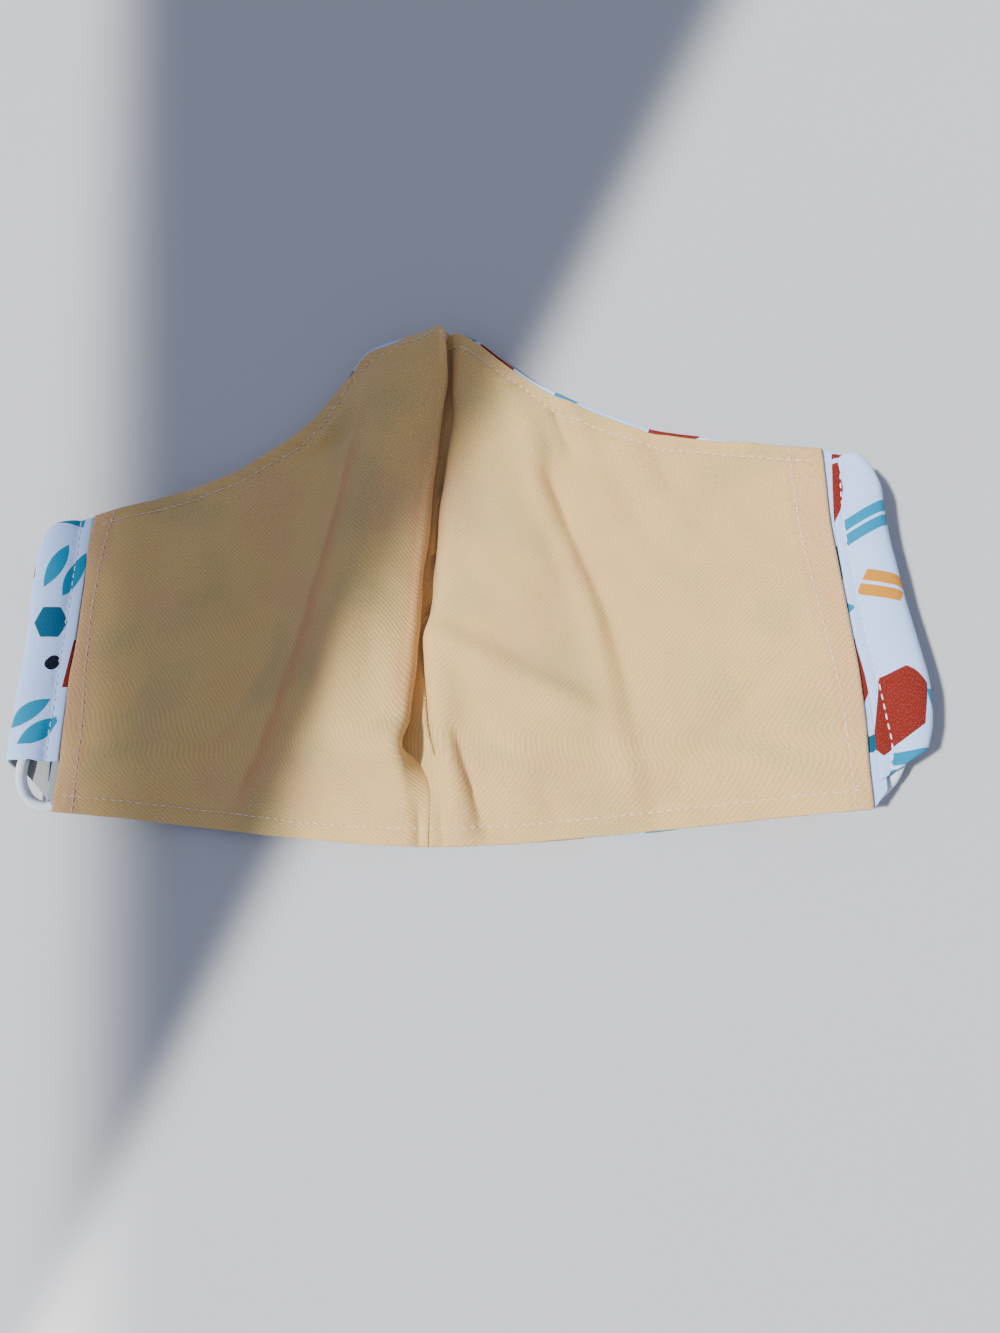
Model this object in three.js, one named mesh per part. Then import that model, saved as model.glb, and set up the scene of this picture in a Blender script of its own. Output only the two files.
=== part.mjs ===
// Fitted two-layer cotton face mask, lying open on its back with the lining up.
// Millimetres, +Z up, X across the face, Y towards the nose edge. The mask rests on Z = 0.
import * as THREE from "three";

// Cloth and clearances
const CLOTH = 1.0; // thickness of each layer, with its turnings
const PLY_GAP = 0.3; // between the lining and the outer
const SEAM_GAP = 0.4; // between the left and the right half along the centre seam
const TURN_CLEARANCE = 0.45; // inner radius of a turned fold

// Outline of the opened mask, from the crossing of its middle lines
const HALF_WIDTH = 106; // centre seam to the lining's side edge
const NOSE_REACH = 73.6;
const CHIN_REACH = 75.2;
const SIDE_TOP = 21.2;
const SIDE_BOTTOM = 66.2;

// Relief of the laid mask
const RIDGE_HEIGHT = 13.6; // top of the hump on the left panel
const FOLD_DEPTH = 17; // how far the cloth is tucked under beside the seam
const PANEL_HEIGHT = 5.6; // the right panel beside the seam
const WING_HEIGHT = 11; // the side edges above the surface

// Lining hem along each side edge
const HEM_WIDTH = 9;
const HEM_STEP = 0.5;

// Casings that carry the ear loops
const HEM_TO_CASING = 1.2; // lining edge to the casing's turned edge
const TONGUE = 2.6; // turned edge to the line of stitching
const CHANNEL_WIDTH = 12; // line of stitching to the outer fold
const CHANNEL_OFFSET = 0.25; // middle of the channel above the middle of the cloth
const CORD_DIAMETER = 3;
const CORD_CLEARANCE = 0.55; // around the cord, in its casing
const LOOP_LIFT = 0.2; // under the cord, where it lies on the surface

const PLY = CLOTH + PLY_GAP / 2;
const TURN_RADIUS = PLY + TURN_CLEARANCE;
const CHANNEL_HALF = CORD_DIAMETER / 2 + CORD_CLEARANCE + CLOTH;

// Top edge: distance from the centre as a share of HALF_WIDTH, and for each half the share of the rise
// from the side corner to the nose.
const TOP_EDGE = [
  { out: 0.0, left: 1.0, right: 1.0 },
  { out: 0.047, left: 0.99, right: 0.975 },
  { out: 0.104, left: 0.945, right: 0.9 },
  { out: 0.16, left: 0.88, right: 0.8 },
  { out: 0.217, left: 0.805, right: 0.7 },
  { out: 0.283, left: 0.69, right: 0.592 },
  { out: 0.34, left: 0.58, right: 0.52 },
  { out: 0.406, left: 0.484, right: 0.443 },
  { out: 0.472, left: 0.4, right: 0.378 },
  { out: 0.585, left: 0.26, right: 0.271 },
  { out: 0.698, left: 0.172, right: 0.202 },
  { out: 0.811, left: 0.112, right: 0.15 },
  { out: 0.925, left: 0.05, right: 0.088 },
  { out: 1.02, left: -0.012, right: 0.03 },
];

// Bottom edge: share of HALF_WIDTH, and share of the drop from the side corner to the chin.
const BOTTOM_EDGE = [
  { out: 0.0, drop: 1.0 },
  { out: 0.17, drop: 0.922 },
  { out: 0.32, drop: 0.778 },
  { out: 0.51, drop: 0.578 },
  { out: 0.66, drop: 0.4 },
  { out: 0.82, drop: 0.189 },
  { out: 1.02, drop: 0.0 },
];

// The tables below have a row for each level from the chin edge (0) to the nose edge (1). Places across
// are shares of HALF_WIDTH, and heights are shares of WING_HEIGHT unless the comment says otherwise.

// Centre fold. turn: degrees that the cloth turns back; tuck: share of FOLD_DEPTH; fold: place of the
// turned edge; base: rise of the lowest layer.
const CENTRE_FOLD = [
  { level: 0.0, turn: 12, tuck: 0.35, fold: -0.057, base: 0.1 },
  { level: 0.08, turn: 20, tuck: 0.35, fold: -0.062, base: 0.07 },
  { level: 0.14, turn: 60, tuck: 0.34, fold: -0.073, base: 0.02 },
  { level: 0.18, turn: 120, tuck: 0.35, fold: -0.076, base: 0.0 },
  { level: 0.23, turn: 176, tuck: 0.44, fold: -0.068, base: 0.0 },
  { level: 0.36, turn: 180, tuck: 0.8, fold: -0.051, base: 0.0 },
  { level: 0.5, turn: 180, tuck: 1.0, fold: -0.031, base: 0.0 },
  { level: 0.64, turn: 180, tuck: 1.0, fold: -0.013, base: 0.0 },
  { level: 0.78, turn: 180, tuck: 0.8, fold: 0.006, base: 0.01 },
  { level: 0.88, turn: 178, tuck: 0.45, fold: 0.019, base: 0.1 },
  { level: 0.95, turn: 130, tuck: 0.34, fold: 0.0, base: 0.31 },
  { level: 1.0, turn: 25, tuck: 0.3, fold: -0.032, base: 0.6 },
];

// Left panel, from the centre outwards: the hump's crest with its height as a share of RIDGE_HEIGHT, the
// line where the cloth touches down, and the rising wing.
const LEFT_PANEL = [
  { level: 0.0, crest: -0.245, ridge: 0.25, foot: -0.623, footUp: 0.17, wing: -0.77, wingUp: 0.53 },
  { level: 0.08, crest: -0.264, ridge: 0.37, foot: -0.613, footUp: 0.1, wing: -0.77, wingUp: 0.53 },
  { level: 0.14, crest: -0.257, ridge: 0.55, foot: -0.598, footUp: 0.02, wing: -0.76, wingUp: 0.53 },
  { level: 0.18, crest: -0.248, ridge: 0.66, foot: -0.583, footUp: 0.0, wing: -0.75, wingUp: 0.53 },
  { level: 0.23, crest: -0.241, ridge: 0.77, foot: -0.566, footUp: 0.0, wing: -0.74, wingUp: 0.53 },
  { level: 0.36, crest: -0.217, ridge: 0.92, foot: -0.528, footUp: 0.0, wing: -0.72, wingUp: 0.54 },
  { level: 0.5, crest: -0.198, ridge: 0.98, foot: -0.481, footUp: 0.0, wing: -0.7, wingUp: 0.54 },
  { level: 0.64, crest: -0.17, ridge: 1.0, foot: -0.434, footUp: 0.04, wing: -0.68, wingUp: 0.54 },
  { level: 0.78, crest: -0.142, ridge: 1.0, foot: -0.387, footUp: 0.13, wing: -0.66, wingUp: 0.55 },
  { level: 0.88, crest: -0.132, ridge: 0.98, foot: -0.349, footUp: 0.25, wing: -0.65, wingUp: 0.57 },
  { level: 0.95, crest: -0.142, ridge: 0.93, foot: -0.36, footUp: 0.38, wing: -0.65, wingUp: 0.59 },
  { level: 1.0, crest: -0.16, ridge: 0.88, foot: -0.377, footUp: 0.46, wing: -0.65, wingUp: 0.6 },
];

// Right panel, from the centre outwards: the rounded brow beside the fold, the dip after it and the
// panel, as shares of PANEL_HEIGHT, and the crease where the cloth touches down.
const RIGHT_PANEL = [
  { level: 0.0, brow: 0.066, browUp: 0.54, dipUp: 0.38, panelUp: 0.43, crease: 0.538, creaseUp: 0.13 },
  { level: 0.08, brow: 0.058, browUp: 0.71, dipUp: 0.34, panelUp: 0.5, crease: 0.533, creaseUp: 0.07 },
  { level: 0.14, brow: 0.045, browUp: 0.84, dipUp: 0.43, panelUp: 0.62, crease: 0.525, creaseUp: 0.02 },
  { level: 0.18, brow: 0.032, browUp: 0.9, dipUp: 0.6, panelUp: 0.74, crease: 0.521, creaseUp: 0.0 },
  { level: 0.23, brow: 0.016, browUp: 0.94, dipUp: 0.79, panelUp: 0.86, crease: 0.514, creaseUp: 0.0 },
  { level: 0.36, brow: 0.006, browUp: 0.96, dipUp: 0.98, panelUp: 0.95, crease: 0.486, creaseUp: 0.0 },
  { level: 0.5, brow: 0.023, browUp: 1.0, dipUp: 1.05, panelUp: 0.96, crease: 0.448, creaseUp: 0.0 },
  { level: 0.64, brow: 0.037, browUp: 1.04, dipUp: 1.09, panelUp: 0.96, crease: 0.396, creaseUp: 0.04 },
  { level: 0.78, brow: 0.049, browUp: 1.11, dipUp: 1.12, panelUp: 0.96, crease: 0.34, creaseUp: 0.13 },
  { level: 0.88, brow: 0.06, browUp: 1.21, dipUp: 1.21, panelUp: 1.04, crease: 0.321, creaseUp: 0.25 },
  { level: 0.95, brow: 0.072, browUp: 1.36, dipUp: 1.3, panelUp: 1.13, crease: 0.321, creaseUp: 0.37 },
  { level: 1.0, brow: 0.094, browUp: 1.43, dipUp: 1.36, panelUp: 1.18, crease: 0.34, creaseUp: 0.45 },
];

// Side edges of the lining, and the height of the right wing halfway to its edge.
const SIDES = [
  { level: 0.0, left: -1.009, leftUp: 0.9, right: 1.017, rightUp: 0.97, wingUp: 0.5 },
  { level: 0.18, left: -1.009, leftUp: 0.92, right: 1.017, rightUp: 1.0, wingUp: 0.52 },
  { level: 0.36, left: -1.006, leftUp: 0.94, right: 1.011, rightUp: 1.0, wingUp: 0.53 },
  { level: 0.5, left: -1.002, leftUp: 0.95, right: 1.0, rightUp: 1.0, wingUp: 0.54 },
  { level: 0.64, left: -0.999, leftUp: 0.95, right: 0.99, rightUp: 1.0, wingUp: 0.55 },
  { level: 0.78, left: -0.996, leftUp: 0.95, right: 0.979, rightUp: 1.0, wingUp: 0.56 },
  { level: 1.0, left: -0.99, leftUp: 0.95, right: 0.971, rightUp: 1.0, wingUp: 0.61 },
];

// Parts of the right panel that keep their own distance from the brow
const BROW_SOFTNESS = 1.0;
const BROW_SLOPE = 3.2;
const DIP_AWAY = 8;
const PANEL_PLACE = 0.255; // share of HALF_WIDTH

// Casings, a row for each level from the lower (0) to the upper end (1). width: share of CHANNEL_WIDTH;
// rise: how far the side edge is above WING_HEIGHT, as a share of it; gape: growth of the casing's height.
const CASING_ROWS = {
  left: [
    { level: 0.0, width: 1.12, rise: -0.1, gape: 1.35 },
    { level: 0.07, width: 1.14, rise: -0.04, gape: 1.2 },
    { level: 0.18, width: 1.06, rise: 0.02, gape: 1.0 },
    { level: 0.4, width: 1.06, rise: 0.02, gape: 1.0 },
    { level: 0.6, width: 1.08, rise: 0.02, gape: 1.0 },
    { level: 0.76, width: 1.16, rise: 0.02, gape: 1.0 },
    { level: 0.88, width: 1.12, rise: 0.02, gape: 1.0 },
    { level: 1.0, width: 0.86, rise: 0.02, gape: 1.0 },
  ],
  right: [
    { level: 0.0, width: 0.76, rise: 0.0, gape: 1.0 },
    { level: 0.07, width: 0.9, rise: 0.03, gape: 1.0 },
    { level: 0.16, width: 0.95, rise: 0.05, gape: 1.0 },
    { level: 0.35, width: 0.87, rise: 0.06, gape: 1.0 },
    { level: 0.55, width: 0.8, rise: 0.06, gape: 1.0 },
    { level: 0.76, width: 0.76, rise: 0.06, gape: 1.0 },
    { level: 0.88, width: 0.75, rise: 0.06, gape: 1.0 },
    { level: 1.0, width: 0.66, rise: 0.05, gape: 1.0 },
  ],
};

// How far each end of a casing's upper and lower wall stands in from the side corner: at the lining and
// at the outer fold.
const CASING_ENDS = {
  left: {
    bottom: { upper: { atLining: 14, atFold: 14.5 }, lower: { atLining: 0.5, atFold: 12.5 } },
    top: { upper: { atLining: 0, atFold: 3 }, lower: { atLining: 9, atFold: 12 } },
  },
  right: {
    bottom: { upper: { atLining: 6, atFold: 16 }, lower: { atLining: 14, atFold: 24 } },
    top: { upper: { atLining: -2, atFold: 2 }, lower: { atLining: 8, atFold: 12 } },
  },
};
const STRIP_CORNER = 4.5; // how far the outer's lower corner is cut back under each casing

// Ear loops: from the casing's lower mouth under the wing and back into its upper mouth. out: from the
// lining's side edge, outwards, as a share of HALF_WIDTH; along: from the lower to the upper corner, as a
// share of the side's length; rise: from lying on the surface (0) to WING_HEIGHT (1).
const LOOP_ROUTES = {
  left: [
    { out: 0.122, along: 0.138, rise: 0.85 },
    { out: 0.132, along: 0.088, rise: 0.6 },
    { out: 0.126, along: 0.045, rise: 0.29 },
    { out: 0.09, along: 0.022, rise: 0.097 },
    { out: 0.048, along: 0.034, rise: 0.02 },
    { out: 0.0, along: 0.068, rise: 0 },
    { out: -0.07, along: 0.125, rise: 0 },
    { out: -0.145, along: 0.195, rise: 0 },
    { out: -0.22, along: 0.285, rise: 0 },
    { out: -0.275, along: 0.4, rise: 0 },
    { out: -0.295, along: 0.53, rise: 0 },
    { out: -0.28, along: 0.68, rise: 0 },
    { out: -0.225, along: 0.82, rise: 0 },
    { out: -0.14, along: 0.905, rise: 0 },
    { out: -0.06, along: 0.95, rise: 0.018 },
    { out: 0.02, along: 0.97, rise: 0.196 },
    { out: 0.07, along: 0.965, rise: 0.551 },
    { out: 0.094, along: 0.905, rise: 0.917 },
  ],
  right: [
    { out: 0.07, along: 0.135, rise: 0.72 },
    { out: 0.046, along: 0.075, rise: 0.45 },
    { out: 0.004, along: 0.034, rise: 0.2 },
    { out: -0.052, along: 0.042, rise: 0.03 },
    { out: -0.115, along: 0.088, rise: 0 },
    { out: -0.18, along: 0.16, rise: 0 },
    { out: -0.25, along: 0.27, rise: 0 },
    { out: -0.285, along: 0.42, rise: 0 },
    { out: -0.275, along: 0.6, rise: 0 },
    { out: -0.225, along: 0.76, rise: 0 },
    { out: -0.145, along: 0.88, rise: 0 },
    { out: -0.065, along: 0.94, rise: 0.042 },
    { out: 0.01, along: 0.975, rise: 0.29 },
    { out: 0.062, along: 0.975, rise: 0.645 },
    { out: 0.08, along: 0.915, rise: 1.035 },
  ],
};
const LOOP_MEETS = 0.3; // where the loop's ends meet inside the casing, as a share of its length
const LOOP_IN_CASING = [0.1, 0.2, 0.42, 0.56, 0.7, 0.82];

// How finely the model is faceted
const LEFT_STEPS = [3, 2, 2, 2, 2, 2, 1, 1, 1, 1, 1, 1, 1];
const RIGHT_STEPS = [1, 1, 1, 1, 1, 1, 2, 2, 2, 3];
const SHEET_LEVELS = [
  0, 0.05, 0.1, 0.14, 0.18, 0.23, 0.29, 0.36, 0.45, 0.55, 0.64, 0.73, 0.81, 0.88, 0.93, 0.97, 1,
];
const CASING_LEVELS = [0, 0.035, 0.07, 0.13, 0.2, 0.35, 0.5, 0.65, 0.8, 0.88, 0.94, 1];
const LOOP_STEPS = 54;
const LOOP_SIDES = 8;

const COLOURS = {
  lining: { color: 0xdcc29a, roughness: 0.85, metalness: 0 },
  outer: { color: 0xe6eaf2, roughness: 0.9, metalness: 0 },
  elastic: { color: 0xf0f2f6, roughness: 0.7, metalness: 0 },
};

// Value of a table's column at a place: a cubic through the rows that never swings past them.
function smooth(rows, key, column, at) {
  const last = rows.length - 1;
  const place = Math.min(Math.max(at, rows[0][key]), rows[last][key]);
  let i = 0;
  while (i < last - 1 && place > rows[i + 1][key]) i++;
  const slope = (k) => (rows[k + 1][column] - rows[k][column]) / (rows[k + 1][key] - rows[k][key]);
  const tangent = (k) => {
    if (k === 0) return slope(0);
    if (k === last) return slope(last - 1);
    const [a, b] = [slope(k - 1), slope(k)];
    return a * b > 0 ? (2 * a * b) / (a + b) : 0;
  };
  const span = rows[i + 1][key] - rows[i][key];
  const t = (place - rows[i][key]) / span;
  return (
    (1 + 2 * t) * (1 - t) ** 2 * rows[i][column] +
    t * (1 - t) ** 2 * span * tangent(i) +
    t * t * (3 - 2 * t) * rows[i + 1][column] +
    t * t * (t - 1) * span * tangent(i + 1)
  );
}

function topEdge(x) {
  const half = x < 0 ? "left" : "right";
  return SIDE_TOP + (NOSE_REACH - SIDE_TOP) * smooth(TOP_EDGE, "out", half, Math.abs(x) / HALF_WIDTH);
}

function bottomEdge(x) {
  const drop = smooth(BOTTOM_EDGE, "out", "drop", Math.abs(x) / HALF_WIDTH);
  return -SIDE_BOTTOM - (CHIN_REACH - SIDE_BOTTOM) * drop;
}

// The lining's side edge at one level, on the middle surface.
function sideEdge(side, level) {
  const column = (name) => smooth(SIDES, "level", name, level);
  return [column(side) * HALF_WIDTH, column(`${side}Up`) * WING_HEIGHT];
}

const sideLevel = (y) => (y + SIDE_BOTTOM) / (SIDE_TOP + SIDE_BOTTOM);

// The turned-back fold at one level. From the top layer it turns under by an arc, runs back, and turns
// again by a like arc into the lowest layer; the seam is halfway round that second arc.
function centreFold(level) {
  const column = (name) => smooth(CENTRE_FOLD, "level", name, level);
  const angle = THREE.MathUtils.degToRad(column("turn"));
  const length = Math.max(column("tuck") * FOLD_DEPTH, 0);
  const base = PLY + column("base") * WING_HEIGHT;
  const top = { x: column("fold") * HALF_WIDTH - TURN_RADIUS * Math.sin(angle / 2), z: 0 };
  top.z = base + 2 * TURN_RADIUS * (1 - Math.cos(angle)) + length * Math.sin(angle);
  const start = { x: top.x + 2 * TURN_RADIUS * Math.sin(angle) + length * Math.cos(angle), z: base };
  const lowerArc = (share) => [
    start.x - TURN_RADIUS * Math.sin(angle * share),
    start.z + TURN_RADIUS * (1 - Math.cos(angle * share)),
  ];
  const upperArc = (share) => [
    top.x + TURN_RADIUS * Math.sin(angle * share),
    top.z - TURN_RADIUS * (1 - Math.cos(angle * share)),
  ];
  return { start, top, lowerArc, upperArc };
}

function leftSection(level) {
  const column = (name) => smooth(LEFT_PANEL, "level", name, level);
  const { top, lowerArc, upperArc } = centreFold(level);
  const crest = [column("crest") * HALF_WIDTH, column("ridge") * RIDGE_HEIGHT];
  const foot = [column("foot") * HALF_WIDTH, PLY + column("footUp") * WING_HEIGHT];
  return [
    sideEdge("left", level),
    [column("wing") * HALF_WIDTH, column("wingUp") * WING_HEIGHT],
    foot,
    [(crest[0] + foot[0]) / 2, THREE.MathUtils.lerp(foot[1], crest[1], 0.45)],
    crest,
    [(top.x + crest[0]) / 2, THREE.MathUtils.lerp(top.z, crest[1], 0.62)],
    upperArc(0),
    upperArc(0.25),
    upperArc(0.5),
    upperArc(0.75),
    upperArc(1),
    lowerArc(1),
    lowerArc(0.75),
  ];
}

function rightSection(level) {
  const column = (name) => smooth(RIGHT_PANEL, "level", name, level);
  const { start, lowerArc } = centreFold(level);
  const brow = [column("brow") * HALF_WIDTH, column("browUp") * PANEL_HEIGHT];
  const toe = Math.max(brow[0] - BROW_SLOPE, start.x + 0.5);
  const crease = [column("crease") * HALF_WIDTH, PLY + column("creaseUp") * WING_HEIGHT];
  const side = sideEdge("right", level);
  return [
    lowerArc(0.25),
    [start.x, start.z],
    [toe, start.z],
    [brow[0] - BROW_SOFTNESS, THREE.MathUtils.lerp(start.z, brow[1], 0.72)],
    [brow[0] + BROW_SOFTNESS, brow[1]],
    [brow[0] + DIP_AWAY, column("dipUp") * PANEL_HEIGHT],
    [PANEL_PLACE * HALF_WIDTH, column("panelUp") * PANEL_HEIGHT],
    crease,
    [(crease[0] + side[0]) / 2, smooth(SIDES, "level", "wingUp", level) * WING_HEIGHT],
    side,
  ];
}

// Points of one level of the middle surface from the left to the right side edge: a curve through the
// whole section, at the outline's depth.
function sheetRow(level) {
  const section = [...leftSection(level), centreFold(level).lowerArc(0.5), ...rightSection(level)];
  const curve = new THREE.CatmullRomCurve3(
    section.map(([x, z]) => new THREE.Vector3(x, 0, z)),
    false,
    "centripetal",
  );
  const row = [curve.getPoint(0)];
  [...LEFT_STEPS, ...RIGHT_STEPS].forEach((cells, i, { length }) => {
    for (let k = 1; k <= cells; k++) row.push(curve.getPoint((i + k / cells) / length));
  });
  for (const point of row) {
    point.z = Math.max(point.z, PLY);
    point.y = THREE.MathUtils.lerp(bottomEdge(point.x), topEdge(point.x), level);
  }
  return row;
}

// The middle surface, with a line of points along each side where the lining's hem begins and a last
// one past the lining's edge, where the casing is stitched.
const SURFACE = SHEET_LEVELS.map((level) => {
  const row = sheetRow(level);
  const hemLine = (edge, before) => edge.clone().lerp(before, HEM_WIDTH / Math.abs(edge.x - before.x));
  const reach = HEM_TO_CASING + TONGUE - PLY_GAP;
  const left = row[0];
  const right = row[row.length - 1];
  row[1] = hemLine(left, row[1]);
  row[row.length - 2] = hemLine(right, row[row.length - 2]);
  const strip = (edge, away) => edge.clone().add(new THREE.Vector3(away, STRIP_CORNER * (1 - level), 0));
  return [strip(left, -reach), ...row, strip(right, reach)];
});
const SEAM = 1 + LEFT_STEPS.reduce((sum, cells) => sum + cells, 0);

// Unit normals of a grid of points, towards the lining side.
function gridNormals(grid) {
  const rows = grid.length - 1;
  const columns = grid[0].length - 1;
  return grid.map((row, j) =>
    row.map((_, i) => {
      const along = grid[j][Math.min(i + 1, columns)].clone().sub(grid[j][Math.max(i - 1, 0)]);
      const up = grid[Math.min(j + 1, rows)][i].clone().sub(grid[Math.max(j - 1, 0)][i]);
      return along.cross(up).normalize();
    }),
  );
}
const NORMALS = gridNormals(SURFACE);

// One half of the surface from the seam outwards, drawn back from it by half the seam's gap.
function halfOf(side, reach) {
  const last = SURFACE[0].length - 1;
  const cut = (row) => (side === "left" ? row.slice(reach, SEAM + 1) : row.slice(SEAM, last + 1 - reach));
  const grid = SURFACE.map((row) => cut(row).map((point) => point.clone()));
  const seam = side === "left" ? grid[0].length - 1 : 0;
  const next = side === "left" ? seam - 1 : 1;
  for (const row of grid) {
    const away = row[next].clone().sub(row[seam]).normalize();
    row[seam].addScaledVector(away, SEAM_GAP / 2);
  }
  return { grid, normals: NORMALS.map(cut) };
}

// Closed body from triangles, with its faces turned outwards.
function closedGeometry(points, triangles) {
  let volume = 0;
  for (const [a, b, c] of triangles) volume += points[a].dot(points[b].clone().cross(points[c]));
  const faces = volume < 0 ? triangles.map(([a, b, c]) => [a, c, b]) : triangles;
  const geometry = new THREE.BufferGeometry().setFromPoints(points);
  geometry.setIndex(faces.flat());
  geometry.computeVertexNormals();
  return geometry;
}

// A sheet of cloth between two offsets of a grid, closed along its four edges.
function clothBody(grid, normals, low, high) {
  const rows = grid.length;
  const columns = grid[0].length;
  const points = [];
  for (const offset of [low, high])
    for (let j = 0; j < rows; j++)
      for (let i = 0; i < columns; i++) {
        const point = grid[j][i].clone().addScaledVector(normals[j][i], offset(i));
        point.z = Math.max(point.z, 0);
        points.push(point);
      }
  const at = (layer, j, i) => layer * rows * columns + j * columns + i;
  const triangles = [];
  const quad = (a, b, c, d) => triangles.push([a, b, c], [a, c, d]);
  for (let j = 0; j + 1 < rows; j++)
    for (let i = 0; i + 1 < columns; i++) {
      quad(at(1, j, i), at(1, j, i + 1), at(1, j + 1, i + 1), at(1, j + 1, i));
      quad(at(0, j, i), at(0, j + 1, i), at(0, j + 1, i + 1), at(0, j, i + 1));
    }
  for (let i = 0; i + 1 < columns; i++) {
    quad(at(0, 0, i), at(0, 0, i + 1), at(1, 0, i + 1), at(1, 0, i));
    quad(at(0, rows - 1, i + 1), at(0, rows - 1, i), at(1, rows - 1, i), at(1, rows - 1, i + 1));
  }
  for (let j = 0; j + 1 < rows; j++) {
    quad(at(0, j + 1, 0), at(0, j, 0), at(1, j, 0), at(1, j + 1, 0));
    quad(at(0, j, columns - 1), at(0, j + 1, columns - 1), at(1, j + 1, columns - 1), at(1, j, columns - 1));
  }
  return closedGeometry(points, triangles);
}

function lining(side) {
  const { grid, normals } = halfOf(side, 1);
  const hem = side === "left" ? (i) => i < 2 : (i) => i > grid[0].length - 3;
  return clothBody(grid, normals, () => PLY_GAP / 2, (i) => PLY + (hem(i) ? HEM_STEP : 0));
}

function outer(side) {
  const { grid, normals } = halfOf(side, 0);
  return clothBody(grid, normals, () => -PLY, () => -PLY_GAP / 2);
}

// Cross-section of a casing: [across from the lining's edge, up], outer loop and the channel's loop.
function casingSection(width, gape) {
  const edge = HEM_TO_CASING;
  const stitch = edge + TONGUE;
  const fold = stitch + width;
  const up = (CHANNEL_HALF + CHANNEL_OFFSET) * gape;
  const down = (CHANNEL_OFFSET - CHANNEL_HALF) * gape;
  const under = PLY_GAP / 2;
  const outside = [
    [edge, under],
    [stitch, under],
    [stitch + PLY_GAP, down * 0.45],
    [stitch + width * 0.22, down * 0.88],
    [stitch + width * 0.5, down],
    [stitch + width * 0.76, down * 0.9],
    [fold - CLOTH * 0.5, down * 0.45],
    [fold, up * 0.06],
    [fold - CLOTH * 0.5, up * 0.55],
    [stitch + width * 0.76, up * 0.9],
    [stitch + width * 0.5, up],
    [stitch + width * 0.22, up * 0.9],
    [stitch + CLOTH * 0.5, up * 0.52],
    [stitch - CLOTH * 0.4, PLY],
    [edge, PLY],
  ];
  const channel = [
    [stitch + CLOTH * 1.3, up * 0.08],
    [stitch + width * 0.26, down * 0.88 + CLOTH],
    [stitch + width * 0.5, down + CLOTH],
    [stitch + width * 0.72, down * 0.9 + CLOTH],
    [fold - CLOTH, up * 0.06],
    [stitch + width * 0.72, up * 0.9 - CLOTH],
    [stitch + width * 0.5, up - CLOTH],
    [stitch + width * 0.26, up * 0.9 - CLOTH],
  ];
  return { outside, channel };
}

// Where a point of a casing's section comes to lie at a share of the casing's length.
function casingPoint(side, level, across, up) {
  const ends = CASING_ENDS[side];
  const wall = up < 0 ? "lower" : "upper";
  const share = THREE.MathUtils.clamp((across - HEM_TO_CASING) / (TONGUE + CHANNEL_WIDTH), 0, 1);
  const inset = (end) => THREE.MathUtils.lerp(end[wall].atLining, end[wall].atFold, share);
  const low = -SIDE_BOTTOM + inset(ends.bottom);
  const high = SIDE_TOP - inset(ends.top);
  const y = THREE.MathUtils.lerp(low, high, level);
  const [x, z] = sideEdge(side, sideLevel(y));
  const flare = smooth(CASING_ROWS[side], "level", "rise", level) * WING_HEIGHT * share;
  const sign = side === "left" ? -1 : 1;
  return new THREE.Vector3(x + sign * across, y, z + up + flare);
}

function channelCentre(side, level) {
  const width = smooth(CASING_ROWS[side], "level", "width", level) * CHANNEL_WIDTH;
  return casingPoint(side, level, HEM_TO_CASING + TONGUE + width / 2, CHANNEL_OFFSET);
}

// A casing: its section carried from the lower to the upper end, each ring slanted as the ends are.
function casing(side) {
  const points = [];
  const sections = CASING_LEVELS.map((level) => {
    const column = (name) => smooth(CASING_ROWS[side], "level", name, level);
    const section = casingSection(column("width") * CHANNEL_WIDTH, column("gape"));
    for (const [across, up] of [...section.outside, ...section.channel])
      points.push(casingPoint(side, level, across, up));
    return section;
  });
  const around = sections[0].outside.length;
  const inside = sections[0].channel.length;
  const ring = around + inside;
  const triangles = [];
  const quad = (a, b, c, d) => triangles.push([a, b, c], [a, c, d]);
  for (let j = 0; j + 1 < sections.length; j++) {
    const here = j * ring;
    const next = here + ring;
    for (let i = 0; i < around; i++) {
      const k = (i + 1) % around;
      quad(here + i, here + k, next + k, next + i);
    }
    for (let i = 0; i < inside; i++) {
      const k = (i + 1) % inside;
      quad(here + around + k, here + around + i, next + around + i, next + around + k);
    }
  }
  for (const [j, turned] of [[0, true], [sections.length - 1, false]]) {
    const flat = (loop) => loop.map(([x, y]) => new THREE.Vector2(x, y));
    const { outside, channel } = sections[j];
    const cap = THREE.ShapeUtils.triangulateShape(flat(outside), [flat(channel)]);
    for (const [a, b, c] of cap) {
      const [p, q, r] = [a, b, c].map((n) => j * ring + n);
      triangles.push(turned ? [p, r, q] : [p, q, r]);
    }
  }
  return closedGeometry(points, triangles);
}

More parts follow.
